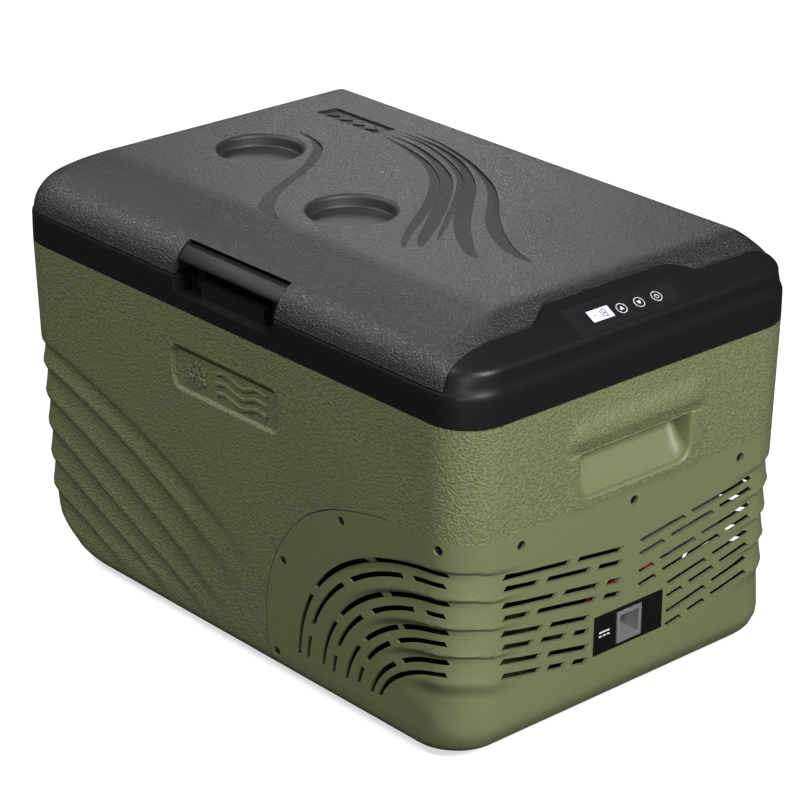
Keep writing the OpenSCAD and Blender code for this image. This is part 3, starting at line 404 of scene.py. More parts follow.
# %% The shell surface
def tub(counts, levels, wall=3.0, solid_top=False):
    """A closed wall. counts gives the columns of each side, levels the outside heights downwards.
    With solid_top it is one plain solid, without inner wall or relief."""
    spans = np.concatenate([[0], np.cumsum(counts)])
    inner = [] if solid_top else [8.2, 9, 12, 20, 40, 70, 120, 180, 240, BODY_TOP]
    heights = np.array(inner + list(levels))
    inside = np.arange(len(heights)) < len(inner)
    def shape(u, v):
        column = np.clip(np.round(u * spans[-1]).astype(int), 0, spans[-1])
        side = np.clip(np.searchsorted(spans, column, "right") - 1, 0, 7)
        part = (column - spans[side]) / np.array(counts)[side]
        row = np.clip(np.round(v * (len(heights) - 1)).astype(int), 0, len(heights) - 1)
        z, inner_side = heights[row], inside[row]
        t = np.where(inner_side, wall, 0.0)
        left = -half_size(HALF_L, 8, (90, 60), z) + t
        right = half_size(HALF_L, 3.5, (30, 30), z) - t
        half_w = half_size(HALF_W, 6, (14, 14), z) - t
        x, y, out = ring(side, part, left, right, half_w, CORNER - t)
        push = np.where(inner_side | solid_top, 0, relief(x, y, z))
        return np.stack([x + out[:, 0] * push, y + out[:, 1] * push, z], 1)
    bm = sheet(int(spans[-1]), len(heights) - 1, shape, closed=True)
    return cap(bm)

def down(top, low, count):
    return [top + (low - top) * i / count for i in range(count + 1)]

foot_rows = [FLOOR + 14 * (1 - sin(radians(a))) for a in range(8, 90, 6)] + [FLOOR + 0.06, FLOOR]
shell_rows = (down(BODY_TOP, 284, 2)[:-1] + down(284, 244, 20)[:-1] + down(244, 216, 8)[:-1]
              + down(216, 24, 68)[:-1] + foot_rows)
shell = tub([150, 18, 84, 12, 90, 14, 84, 20], shell_rows)
print("shell grid", len(shell.verts), "corners")

# %% [markdown]
# The seam of the machine cover climbs from the floor and bends over in one long sweep. The cutter
# that opens the shell and the one that trims the cover share its curve, with a hair gap between.

# %% The seam
def sweep_through(points, steps):
    """A smooth curve through points, as a Catmull-Rom spline."""
    made, ends = [], [points[0]] + list(points) + [points[-1]]
    for a, b, c, d in zip(ends, ends[1:], ends[2:], ends[3:]):
        a, b, c, d = map(np.array, (a, b, c, d))
        for k in range(steps):
            t = k / steps
            bend, twist = 2 * a - 5 * b + 4 * c - d, 3 * b - a - 3 * c + d
            made.append(0.5 * (2 * b + (c - a) * t + bend * t * t + twist * t ** 3))
    return [tuple(p) for p in made] + [tuple(points[-1])]

def cover_outline(gap):
    curve = [(58, 4), (54.3, 13.5), (47.5, 28), (45.8, 48), (46.8, 67), (51.7, 93), (61.1, 115.6), (76.4, 140.1),
             (98.4, 163), (112.6, 172.6), (131.2, 181.8), (160.8, 190.9), (191.9, 196.7), (214, 199), (236, 200),
             (257, 200.2), (310, 200.2)]
    drawn = sweep_through([(x + gap * (x < 200), z - 0.8 * gap * (100 < x < 205)) for x, z in curve], 4)
    return drawn + [(310, -5), (62 + gap, -5)]

# %% [markdown]
# Each end has a finger slot under a hood. The cutter widens at its mouth by a quarter round at the
# sides and the foot, so the slot's rim rolls in as a moulded edge does.

# %% Finger slots, badge recess and the cut shell
def rounded(low, high, radius, steps=6, flat_top=False):
    """A rounded rectangle as pairs; flat_top leaves its two upper corners almost sharp."""
    radii = [radius, radius, 2.0 if flat_top else radius, 2.0 if flat_top else radius]
    corners = [(high[0], low[1]), (low[0], low[1]), (low[0], high[1]), (high[0], high[1])]
    made = []
    for k, ((cx, cy), r) in enumerate(zip(corners, radii)):
        sx, sy = (1 if cx == high[0] else -1), (1 if cy == high[1] else -1)
        first = {0: 0, 1: 270, 2: 180, 3: 90}[k]
        for i in range(steps + 1):
            a = radians(first - 90 * i / steps)
            made.append((cx - sx * r + r * cos(a), cy - sy * r + r * sin(a)))
    return made

def loft(outlines, axis):
    """Joins outlines of equal length, each (depth, pairs), and closes both ends."""
    bm = bmesh.new()
    loops = []
    for depth, outline in outlines:
        verts = [bm.verts.new(laid(axis, p, depth)) for p in outline]
        loops.append([bm.edges.new((a, b)) for a, b in zip(verts, verts[1:] + verts[:1])])
    for near, next_loop in zip(loops, loops[1:]):
        bmesh.ops.bridge_loops(bm, edges=near + next_loop)
    return cap(bm)

def finger_slot(sign):
    """A scoop: behind the rim the floor climbs up to meet the hood's under-side."""
    face, lip, layers = 290.5, 5.0, []
    for angle in (0, 15, 30, 45, 60, 75, 90):
        inset = lip * (1 - sin(radians(angle)))
        deep = lip * (1 - cos(radians(angle)))
        layers.append((sign * (face - deep), rounded((-61.5 - inset, 207.5 - inset), (61.5 + inset, 247.5),
                                                     13 + inset, flat_top=True)))
    layers = [(sign * 300, layers[0][1])] + layers
    for deep, raised in ((282, 3), (277, 9), (272, 17), (267, 25), (262.5, 32)):
        radius = min(12, (39 - raised) / 2.3)
        layers.append((sign * deep, rounded((-60.5, 207.5 + raised), (60.5, 247.5), radius, flat_top=True)))
    return loft(layers, "x")

def badge_recess():
    """A shallow slanted-wall recess in the front."""
    layers = []
    for deep, grow in ((-6, 5.4), (-0.6, 4.6), (0.2, 3.6), (1.9, 0.9), (2.5, 0.3), (2.7, 0.0)):
        y = -HALF_W + 6 * (BODY_TOP - 243) / 292 + deep
        layers.append((y, rounded((-67.5 - grow, 226.5 - grow), (67.5 + grow, 260.5 + grow), 8 + grow)))
    return loft(layers, "y")

handle_blocks = block((252, -66, 204), (287.2, 66, 262))
block((-287.2, -66, 204), (-252, 66, 262), handle_blocks)
shell = carve(shell, (CUT, prism(cover_outline(0), "y", -230, 230)), (JOIN, handle_blocks),
              (CUT, finger_slot(1), cover_finish), (CUT, finger_slot(-1), cover_finish),
              (CUT, badge_recess()), base=shell_finish)
outer_skin = piece(shell, "outer_skin", [shell_finish, cover_finish], "body", ["outer_shell"])

# %% [markdown]
# The cover's slots let warm air out. On the long sides they are nested arcs, broken by ribs; on the
# end they are slanted rows either side of the power inlet. Each slot is a small prism that cuts the wall.

# %% Slot cutters
def arc_point(row, offset, angle):
    sizes = [(202, 152), (191, 142), (172, 127), (159, 116), (143, 102), (129, 92), (113, 76), (104, 65)][row]
    power = [2.3, 2.2, 2.15, 2.15, 2.05, 2.05, 2.0, 2.0][row]
    a, n = radians(angle), 2 / power
    return (HALF_L - (sizes[0] + offset) * abs(cos(a)) ** n, 20 + (sizes[1] + offset) * max(sin(a), 0) ** n)

# First and last angle of every slot of an arc, outermost arc first
arc_spans = [[(3, 26), (30, 58), (61, 84.2)], [(4, 12), (17, 42), (46, 69), (73, 83)],
             [(5, 27), (31, 56), (60, 82.3)], [(5, 13), (18, 41), (47, 69), (74, 81)],
             [(7, 29), (34, 56), (59, 79.6)], [(9, 20), (26, 47), (52, 78.2)], [(10, 43), (48, 76.4)], [(13, 75)]]
slots = bmesh.new()
for row, spans in enumerate(arc_spans):
    for first, last in spans:
        turns = [first + (last - first) * k / 8 for k in range(9)]
        for side in (-1, 1):
            outline = [arc_point(row, 2.2, a) for a in turns]
            outline += [arc_point(row, -2.2, a + 0.8) for a in reversed(turns)]
            prism(outline, "y", side * 165, side * 200, slots)

# Outer height, slant in degrees, inner end and the breaks of each row, sideways from the middle
end_rows = [(164.5, 7.3, 11, (66,)), (154.5, 8.1, 11, (100, 42.5)), (139.5, 8.6, 11, (80, 31.5)),
            (128.8, 9.3, 11, (109.5, 34.5)), (114.6, 10.2, 46, (94.5,)), (103, 10.6, 46, (104, 67.5)),
            (89.8, 11.4, 46, (95.5,)), (77, 11, 46, (95.5, 67.5))]
for height, slant, inner, breaks in end_rows:
    stops = [145.5] + list(breaks) + [inner - 4.5]
    for outer, near in zip(stops, stops[1:]):
        a, b = outer - 4.5, near + 4.5
        for side in (-1, 1):
            z_a, z_b = (height - math.tan(radians(slant)) * (141 - w) for w in (a, b))
            corners = [(a + 2.2, z_a - 2.3), (a - 2.2, z_a + 2.3), (b - 2.2, z_b + 2.3), (b + 2.2, z_b - 2.3)]
            prism([(side * y, z) for y, z in corners], "x", 272, 300, slots)
print("slot cutters", len(slots.faces) // 6)

# %% The machine cover
def screw_places():
    """Where the cover's screws go in: points and outward directions."""
    made = []
    for x, z in ((144.6, 175.8), (258.6, 192), (70, 112.2), (58.5, 22.7)):
        for side in (-1, 1):
            made.append(((x, side * (HALF_W - 6 * (BODY_TOP - z) / 292), z), (0, side, 0)))
    for y in (-125, 0, 125):
        made.append(((HALF_L - 3.5 * (BODY_TOP - 188) / 292, y, 188), (1, 0, 0)))
    return made

def rod(bm, start, direction, radius, length, sides=24):
    """A closed cylinder from start along direction."""
    turn = Vector((0, 0, 1)).rotation_difference(Vector(direction)).to_matrix().to_4x4()
    matrix = Matrix.Translation(Vector(start) + Vector(direction).normalized() * length / 2) @ turn
    bmesh.ops.create_cone(bm, cap_ends=True, segments=sides, radius1=radius, radius2=radius, depth=length,
                          matrix=matrix)
    return bm

screw_holes = bmesh.new()
for place, out in screw_places():
    rod(screw_holes, Vector(place) - Vector(out) * 8, out, 4.25, 20)
cover_rows = down(212, 24, 94)[:-1] + foot_rows
cover = tub([150, 26, 150, 18, 90, 2, 4, 2], cover_rows)
inlet = block((255, -39.8, 59.2), (310, 39.8, 94.8))
cover = carve(cover, (KEEP, prism(cover_outline(0.9), "y", -229, 229)), (CUT, slots),
              (CUT, screw_holes), (CUT, inlet))
cover_skin = piece(cover, "cover_skin", cover_finish, "body", ["machine_cover"])

# %% [markdown]
# The top is one crown: every side has its own edge curve, from the seam up to the level middle. The
# long sides roll over in a full curve, the plain end in a tighter one, and the machine end climbs
# the slope of the key panel. Rings of equal height join the four curves round the corners. The lid
# and the console are cut from two such crowns, so that they meet flush.

# %% The crown
LID_TOP = BAND_TOP + 44.6
# Each edge curve holds pairs of inset from the side and height over the band
side_curve = [(0, -28), (0, -4), (0.5, -0.5), (1.5, 1.2), (3, 8), (4.9, 12.5), (7.4, 16.5), (10.6, 20.3),
              (14.5, 23.8), (20, 27.3), (27, 30.4), (35, 33.4), (44, 36.4), (53, 39.1), (62, 41.5),
              (70, 43.6), (79, 44.6)]
ridge_arc = [(9 - 6 * cos(radians(a)), 13.9 + 6 * sin(radians(a))) for a in (0, 20, 40, 61.45)]
console_curve = [(0, -28), (0, -6), (0.6, -1), (2.2, 4), (2.8, 9)] + ridge_arc + [
    (20, 26.75), (35, 34.9), (50, 43.07), (52.8, 44.6)]
lid_end_curve = [(1.5, 1.2), (3, 8), (6, 16), (27, 31), (35, 36.6), (42.2, 41.7), (46, 43.6), (52.8, 44.6)]

crown_levels = [-28, -26.8, -14, -4, -2, -0.5, 0.4, 1.2, 3, 5.5, 8, 10.5, 12.5, 14, 15, 16, 17, 18, 19, 20.3, 21.6,
                23, 24.4, 26, 27.6, 29.3, 31, 32.8, 34.6, 36.4, 38, 39.4, 40.7, 41.7, 42.6, 43.3, 43.9, 44.3, 44.6]

def crown(end_curve, bottom, counts=(110, 14, 64, 14)):
    """A closed solid from height bottom (over the band's top) up to the level middle."""
    heights = np.array([h for h in crown_levels if h >= bottom])
    def insets(curve):
        drawn = np.array(sweep_through(curve, 8))
        return np.interp(heights, drawn[:, 1], drawn[:, 0])
    side, end = insets(side_curve), insets(end_curve)
    if bottom == -28:
        side[0] = end[0] = 0.9
    counts = list(counts) + [counts[0], counts[1], counts[2], counts[1]]
    spans = np.concatenate([[0], np.cumsum(counts)])
    def at_back(inset):
        """The back edge starts like the front one, then rolls over more tightly."""
        return np.where(inset < 4, inset, 4 + 0.44 * (inset - 4))
    def shape(u, v):
        column = np.round(u * spans[-1]).astype(int)
        which = np.clip(np.searchsorted(spans, column, "right") - 1, 0, 7)
        part = (column - spans[which]) / np.array(counts)[which]
        row = np.round(v * (len(heights) - 1)).astype(int)
        corner = CORNER * np.clip(1 - side[row] / 79, 0, 1)
        front_w, back_w = HALF_W - side[row], HALF_W - at_back(side[row])
        x, y, _ = ring(which, part, -HALF_L + 0.55 * side[row], HALF_L - end[row], (front_w + back_w) / 2, corner)
        y = y + (back_w - front_w) / 2
        return np.stack([x, y, BAND_TOP + heights[row]], 1)
    bm = sheet(int(spans[-1]), len(heights) - 1, shape)
    inner = (-HALF_L + 0.55 * 79, HALF_L - end[-1], HALF_W - 79)
    def middle(u, v):
        depth = inner[2] + HALF_W - float(at_back(79))
        return np.stack([inner[0] + (inner[1] - inner[0]) * u, -inner[2] + depth * v, LID_TOP + 0 * u], 1)
    centre = sheet(counts[0], counts[2], middle)
    carried = bpy.data.meshes.new("centre")
    centre.to_mesh(carried)
    bm.from_mesh(carried)
    centre.free()
    bpy.data.meshes.remove(carried)
    bmesh.ops.remove_doubles(bm, verts=bm.verts, dist=0.01)
    return cap(bm)

def console_edge(gap, reach):
    """Outline of the console in plan, with a soft S where it steps into the lid."""
    def soft(side):
        outer, shares = 263 - gap, [k / 10 for k in range(1, 10)]
        bend = [(outer - 13.5 * t * t * (3 - 2 * t), side * (97 - 34 * t)) for t in shares]
        return [(outer, side * 200), (outer, side * 97)] + bend + [(249.5 - gap, side * 63)]
    return soft(-1) + soft(1)[::-1] + [(reach, 200), (reach, -200)]

# %% [markdown]
# The lid carries two cup rests, a name recess and a family of pressed bands that flow past the cups.
# A band is a shallow slanted cut, deepest along its crease and running out to nothing at both ends.
# Its cutter is a strip of quads set along a smooth path, with the tool's own finish, so that the
# pressed faces come out smoother than the grain round them, and darker as painted shade.

# %% Cutters for the lid
# Darker than the lid: painted shade in the pressed bands, the name recess and the latch room, on a smoother surface.
press_finish_painted_shade = grained("press_grey_painted_shade", (0.011, 0.0112, 0.0115), 0.5, 2.0, 0.3, 0.16, Specular_IOR_Level=0.22)
well_finish = grained("well_grey", (0.019, 0.0195, 0.020), 0.55, 1.2, 0.02, 0.04)

def spun(outline, centre, steps=72):
    """Turns an outline of (radius, z) about an upright axis at centre, closed at both ends on the axis."""
    bm = bmesh.new()
    verts = [bm.verts.new((r, 0, z)) for r, z in outline]
    edges = [bm.edges.new(pair) for pair in zip(verts, verts[1:])]
    bmesh.ops.spin(bm, geom=verts + edges, cent=(0, 0, 0), axis=(0, 0, 1), angle=math.tau, steps=steps,
                   use_merge=True)
    bmesh.ops.remove_doubles(bm, verts=bm.verts, dist=1e-4)
    bmesh.ops.translate(bm, vec=(centre[0], centre[1], 0), verts=bm.verts)
    bmesh.ops.recalc_face_normals(bm, faces=bm.faces)
    return bm

def cup_rest(x, y):
    lip = [(37.5 + 3.6 * (1 - sin(a)), LID_TOP - 3.6 * (1 - cos(a)))
           for a in map(radians, range(0, 91, 15))]
    foot = [(35.5 + 2 * cos(a), LID_TOP - 9 - 2 * sin(a)) for a in map(radians, range(0, 91, 30))]
    return spun([(0, LID_TOP + 8), (41.1, LID_TOP + 8)] + lip + foot + [(0, LID_TOP - 11)], (x, y))

def pressed_band(path, widths, depth):
    """A cutter along path, points in plan; widths at the path's points, in millimetres."""
    line = np.array(sweep_through([tuple(p) + (w,) for p, w in zip(path, widths)], 6))
    count, bm, rings = len(line), bmesh.new(), []
    for k, (x, y, wide) in enumerate(line):
        before, after = line[max(k - 1, 0)], line[min(k + 1, count - 1)]
        ahead = np.array([after[0] - before[0], after[1] - before[1]])
        left = np.array([-ahead[1], ahead[0]]) / np.hypot(*ahead)
        deep = depth * min(1.0, 6 * k / count, 3.2 * (count - 1 - k) / count)
        runout = 0.05 + 0.15 * (1 - deep / depth)
        marks = [(0.5, 2.0), (0.5, -0.05 - deep + 0.05), (0.3, -deep), (-0.5, runout), (-0.5, 2.0)]
        side = left * wide
        rings.append([bm.verts.new((x + side[0] * s, y + side[1] * s, LID_TOP + dz)) for s, dz in marks])
    loops = [[bm.edges.new(pair) for pair in zip(r, r[1:] + r[:1])] for r in rings]
    for near, following in zip(loops, loops[1:]):
        bmesh.ops.bridge_loops(bm, edges=near + following)
    return cap(bm)

bands = [
    ([(-178, 41), (-157, 39), (-135, 28), (-116, 8), (-96, -23), (-80, -56), (-64, -84), (-43, -107), (-19, -121),
      (10, -128)], [3, 5, 8, 9.5, 9, 9.5, 12.5, 15, 15, 11], 1.5),
    ([(-122, 92), (-81, 84), (-48, 74), (-17, 57), (6, 38), (35, 5), (58, -28), (78, -58), (97, -82)],
     [3, 5, 7, 8.5, 9, 9.5, 9.5, 9, 8], 1.2),
    ([(-119, 97), (-83, 95), (-46, 83), (-11, 64.5), (15, 43), (44, 11), (70, -22), (92, -53), (104, -70)],
     [2, 4, 7, 10, 12.5, 13, 13, 12, 9], 1.4),
    ([(-117, 105), (-79, 104), (-36, 90.5), (-3, 73.5), (21, 53.5), (54, 16), (81, -19), (103, -49)],
     [2, 3, 4.5, 5.5, 6, 6.5, 6.5, 5], 1.0),
    ([(-116, 111), (-72, 109), (-29, 96.5), (6, 76), (33, 53), (73, 9), (101, -18), (132, -42), (153, -55)],
     [2, 4, 6.5, 9.5, 12.5, 15, 15, 13, 9], 1.5),
    ([(-112, 119), (-70, 116), (-23, 103), (11, 88), (38, 73), (68, 48), (98, 19), (127, -3), (159, -20),
      (190, -28)], [2, 3, 4, 5.5, 7, 10, 13, 14, 12, 8], 1.5)]

# %% The lid
name_recess = loft([(LID_TOP - 2.2, [(-211, 91), (-132, 91), (-128, 112), (-207, 112)]),
                    (LID_TOP + 2, [(-212.5, 90), (-130.5, 90), (-126.5, 113), (-208.5, 113)])], "z")
under = prism([(-285.5, -170), (-270, -184), (244, -184), (244, 184), (-270, 184), (-285.5, 170)], "z", 320, 328.3)
hinges = bmesh.new()
for side in (-1, 1):
    block((side * 150.8 - 28.5, 178.2, 320), (side * 150.8 + 28.5, 204, 337.8), hinges)
latch_room = block((-65.5, -204, 320), (65.5, -162.5, 352.3))
cuts = [(CUT, prism(console_edge(1.3, 320), "z", 300, 400)), (CUT, under), (CUT, hinges)]
pressed = [(CUT, pressed_band(*band), press_finish_painted_shade) for band in bands]
wells = [(CUT, cup_rest(x, y), well_finish) for x, y in ((-166, -12), (5, -54))]
lid_bm = carve(crown(lid_end_curve, 1.2), *cuts, *pressed, *wells, (CUT, name_recess, press_finish_painted_shade),
               (CUT, latch_room, press_finish_painted_shade), base=lid_finish)
lid_skin = piece(lid_bm, "lid_skin", [lid_finish, press_finish_painted_shade, well_finish], "lid", ["lid"])

# %% [markdown]
# The trim band and the console are one black moulding. The band is the crown's lowest 28 mm with the
# mouth of the tub cut out; the console is what the lid leaves at the machine end. The latch recess in
# front has a middle block between two pockets with upright ribs, where the latch's claws reach in.

# %% Band and console
SLOPE = radians(28.55)

def on_console(bm):
    """Turns a bmesh drawn flat (x down the slope, z outwards) onto the console at the key panel."""
    seat = 342.5 + (287 - 271) * math.tan(SLOPE)
    place = Matrix.Translation((271, 2, seat)) @ Matrix.Rotation(SLOPE, 4, "Y")
    bmesh.ops.transform(bm, matrix=place, verts=bm.verts)
    return bm

over_lid = prism([(-300, -210), (263, -210)] + console_edge(0, 320)[:-2] + [(263, 210), (-300, 210)], "z", 325, 400)
mouth = block((-250, -152, 290), (222, 152, 326))
recess = block((-65.5, -204, 310), (65.5, -163, 330))
middle_block = block((-41, -178, 308), (41, -167.5, 324))
ribs = bmesh.new()
for side in (-1, 1):
    for x in (48, 53.5, 59):
        block((side * x - 0.9, -172, 308), (side * x + 0.9, -162, 324.4), ribs)
ears = bmesh.new()
for side in (-1, 1):
    for end in (-1, 1):
        x = side * 150.8 + end * 23.5
        rod(ears, (x - 4, 184, 332), (1, 0, 0), 4.6, 8, 32)
        block((x - 3.95, 179.6, 322), (x + 3.95, 188.4, 332), ears)
panel_cut = on_console(block((-15, -63, -2), (15, 63, 6)))
board_cut = on_console(block((-12, -60, -8), (12, 60, 1)))
trim = carve(crown(console_curve, -28), (CUT, over_lid), (CUT, mouth), (CUT, recess),
             (JOIN, middle_block), (JOIN, ribs), (JOIN, ears), (CUT, panel_cut),
             (CUT, board_cut), base=trim_finish)
trim_skin = piece(trim, "trim_skin", trim_finish, "body", ["top_trim"])

# %% [markdown]
# The remaining frame parts are already exact. Those in sight are copied, their loose triangles are
# merged into clean faces, and a small round goes on every sharp edge, because real edges catch light.

# %% Finishes for metal, rubber, foam and copper
def metal(name, color, roughness, streak=40.0, along=(1, 1, 8)):
    """Metal with fine drawn streaks: colour and shine vary a little along them."""
    finish = Finish(name, color, roughness, Metallic=1.0)
    stretched = finish.node("ShaderNodeMapping", {}, finish.place, Scale=along)
    lines = finish.noise(streak, 4.0, 0.65, stretched)
    finish.put("Base Color", finish.mix(lines, tinted(color, 0.82), tinted(color, 1.12)))
    finish.put("Roughness", roughness + (lines - 0.5) * 0.22)
    finish.bump(lines, 0.00004)
    return finish.material

def soft_stuff(name, color, roughness, size, depth):
    """Rubber or foam: a cell pattern with a matt surface."""
    finish = Finish(name, color, roughness)
    cells = finish.node("ShaderNodeTexVoronoi", {"feature": "F1"}, Vector=finish.place, Scale=1000 / size)
    broad = finish.noise(30.0, 3.0, 0.6)
    finish.bump(cells, depth * MM)
    finish.put("Base Color", finish.mix(broad, tinted(color, 0.85), tinted(color, 1.08)))
    finish.put("Roughness", roughness + (broad - 0.5) * 0.1)
    return finish.material

# The cover screws are made near black as painted shade, darkening the deep screw holes they sit in.
screw_black_painted_shade = metal("screw_black_painted_shade", (0.045, 0.045, 0.047), 0.45)
steel = metal("screw_steel", (0.30, 0.30, 0.30), 0.38)
zinc = metal("zinc_plate", (0.52, 0.54, 0.56), 0.42, 16.0, (1, 1, 1))
brass = metal("brass_pin", (0.66, 0.50, 0.22), 0.30)
copper = metal("copper", (0.72, 0.33, 0.18), 0.34, 60.0, (1, 1, 2))
alu = metal("module_alu", (0.60, 0.61, 0.63), 0.40, 50.0, (1, 8, 1))
rubber = soft_stuff("rubber", (0.012, 0.012, 0.012), 0.75, 1.5, 0.05)
foam = soft_stuff("foam", (0.80, 0.73, 0.46), 0.9, 1.2, 0.15)
tub_white = grained("tub_white", (0.78, 0.80, 0.81), 0.32, 3.0, 0.03, 0.02)
frame_black = grained("frame_black", (0.013, 0.013, 0.0125), 0.6, 1.6, 0.05)
machine_black = grained("machine_black", (0.012, 0.012, 0.013), 0.28, 2.2, 0.04)
fan_black = grained("fan_black", (0.016, 0.016, 0.017), 0.48, 1.6, 0.03)
plate_black = grained("plate_black", (0.0035, 0.0035, 0.0038), 0.45, 1.0, 0.012, 0.05, Specular_IOR_Level=0.2)
socket_grey = grained("socket_grey", (0.13, 0.132, 0.135), 0.42, 1.0, 0.02)
# The condenser's copper is darkened far below copper's own colour: painted shade inside the machine bay behind the
# cover slots.
copper_painted_shade = metal("copper_painted_shade", (0.06, 0.032, 0.022), 0.5, 60.0, (1, 1, 2))
latch_finish = grained("latch_grey", (0.0075, 0.008, 0.0082), 0.5, 1.0, 0.012, 0.05, Specular_IOR_Level=0.25)
panel_finish = grained("panel_gloss", (0.0085, 0.0085, 0.009), 0.26, 0.9, 0.010, 0.05)
key_finish = grained("key_black", (0.011, 0.011, 0.012), 0.34, 0.9, 0.012, 0.05)
board_green = grained("board_green", (0.015, 0.10, 0.04), 0.4, 2.0, 0.03, 0.2)
wire_red = grained("wire", (0.42, 0.02, 0.015), 0.4, 1.2, 0.02)
print_white = grained("print_white", (0.62, 0.63, 0.64), 0.5, 0.6, 0.005)

# %% Clean copies of frame parts
def node_mm(node):
    """A merged copy of a frame part, in millimetres."""
    bm = bmesh.new()
    bm.from_mesh(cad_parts[node].data)
    bmesh.ops.scale(bm, vec=(1000,) * 3, verts=bm.verts)
    bmesh.ops.remove_doubles(bm, verts=bm.verts, dist=0.002)
    return bm

def rounded_off(bm, edge):
    """Puts a small round on every sharp edge."""
    sharp = [e for e in bm.edges if len(e.link_faces) == 2 and e.calc_face_angle(0) > radians(40)]
    bmesh.ops.bevel(bm, geom=sharp, offset=edge, offset_type="OFFSET", affect="EDGES", segments=2, profile=0.5,
                    clamp_overlap=True, material=-1)
    return bm

def refined(node, finish, body="body", edge=0.4, crease=28):
    """A copy of a frame part with merged faces, rounded sharp edges and smooth shading."""
    bm = node_mm(node)
    bmesh.ops.dissolve_limit(bm, angle_limit=radians(0.6), verts=bm.verts, edges=bm.edges)
    if edge:
        rounded_off(bm, edge)
    return piece(bm, node + "_fine", finish, body, [node], crease)

refined("latch_handle", latch_finish, "latch", 0.5)
screws = bmesh.new()
for place, out in screw_places():
    rod(screws, Vector(place) - Vector(out) * 4.6, out, 3.2, 2.2)
    rod(screws, Vector(place) - Vector(out) * 16, out, 1.5, 12)
piece(screws, "screws_fine", screw_black_painted_shade, "body", ["cover_screws"])
refined("inlet_plate", plate_black, edge=0.3)
refined("dc_inlet", socket_grey, edge=0.5)
refined("control_panel", panel_finish, edge=0.2)
for node in ("button_up", "button_down", "button_power"):
    refined(node, key_finish, node.replace("button", "key"), 0.35)
for node in ("hinge_leaf_left", "hinge_leaf_right"):
    refined(node, trim_finish, "lid", 0.3)
for node in ("feet", "compressor_mounts"):
    refined(node, rubber, edge=0.6)
for node, finish, slot in (
        ("compressor", machine_black, "machine_black"), ("filter_drier", copper, "copper"),
        ("condenser", copper_painted_shade, "copper"), ("discharge_pipe", copper, "copper"),
        ("liquid_pipe", copper, "copper"), ("suction_pipe", copper, "copper"),
        ("bay_frame", frame_black, "frame_black"), ("fan_frame", fan_black, "fan_black"),
        ("wiring", wire_red, "wire")):
    refined(node, finish, edge=0, crease=34)
refined("fan_rotor", fan_black, "fan", 0, 34)

# %% [markdown]
# The foam fills every hollow between skin and tub. It is the frame's own foam, trimmed to a copy of
# the outer surface that is drawn in a little, so that it follows the softer corners of the skin.

# %% Foam trimmed to the skin
def shrunk(bm, inset, centre):
    """The same closed solid, drawn in by inset on every side about its centre."""
    low = [min(v.co[i] for v in bm.verts) for i in range(3)]
    high = [max(v.co[i] for v in bm.verts) for i in range(3)]
    factor = [1 - 2 * inset / (high[i] - low[i]) for i in range(3)]
    bmesh.ops.translate(bm, vec=-Vector(centre), verts=bm.verts)
    bmesh.ops.scale(bm, vec=(factor[0], factor[1], factor[2]), verts=bm.verts)
    bmesh.ops.translate(bm, vec=Vector(centre), verts=bm.verts)
    return bm

core = tub([8, 10, 8, 10, 8, 10, 8, 10], down(BODY_TOP, 60, 12)[:-1] + foot_rows, wall=0.0, solid_top=True)
lid_core = crown(lid_end_curve, 1.2, (8, 8, 8, 8))
trimmed = carve(node_mm("foam_body"), (KEEP, shrunk(core, 7.5, (0, 0, 150))), base=foam)
piece(trimmed, "foam_fine", foam, "body", ["foam_body"])
trimmed = carve(node_mm("lid_foam"), (KEEP, shrunk(lid_core, 3.4, (0, 0, 330))), base=foam)
piece(trimmed, "lid_foam_fine", foam, "lid", ["lid_foam"])

# %% Finishes of the other frame parts
worn = {
    tub_white: ("inner_liner", "lid_liner"), rubber: ("lid_gasket",), zinc: ("base_plate",),
    steel: ("foot_screws", "hinge_pin_left", "hinge_pin_right", "hinge_screws", "latch_pin", "latch_spring",
            "latch_strike", "compressor_bolts", "fan_screws"),
    board_green: ("panel_board",), brass: ("inlet_pins",), copper: ("evaporator_coil",),
    alu: ("evaporator_plate", "control_module"), machine_black: ("temp_sensor",)}
for finish, nodes in worn.items():
    for node in nodes:
        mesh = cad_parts[node].data
        mesh.materials.clear()
        mesh.materials.append(finish)
print("painted", sum(map(len, worn.values())), "frame parts")

# %% [markdown]
# The display is a pale lilac window with dark seven-segment digits. Each key has a raised ring and a
# mark of its own. These are thin moulded or printed shapes, built as flat pieces and laid on the slope.

# %% Display, digits and key marks
def display_glass():
    finish = Finish("lcd", (0.60, 0.58, 0.80), 0.22, Coat_Weight=0.3)
    rows = finish.noise(60.0, 1.0, 0.5)
    finish.put("Base Color", finish.mix(rows, (0.50, 0.48, 0.72, 1), (0.66, 0.64, 0.84, 1)))
    finish.put("Emission Color", finish.mix(rows, (0.50, 0.48, 0.75, 1), (0.62, 0.60, 0.85, 1)))
    finish.put("Emission Strength", 0.35)
    finish.bump(rows, 0.00002)
    return finish.material
lcd = display_glass()
window = on_console(block((-5.75, -41.5, -3.4), (5.75, -18.5, -0.25)))
piece(window, "display_window", lcd, "body", ["display"])

def bar(bm, x, y, long, thick, turned=0.0, z=-0.25, high=0.12):
    """A thin bar centred on (x, y) of the slope."""
    turn = Matrix.Rotation(radians(turned), 4, "Z") @ Matrix.Diagonal((thick, long, high, 1))
    bmesh.ops.create_cube(bm, size=1, matrix=Matrix.Translation((x, y, z + high / 2)) @ turn)

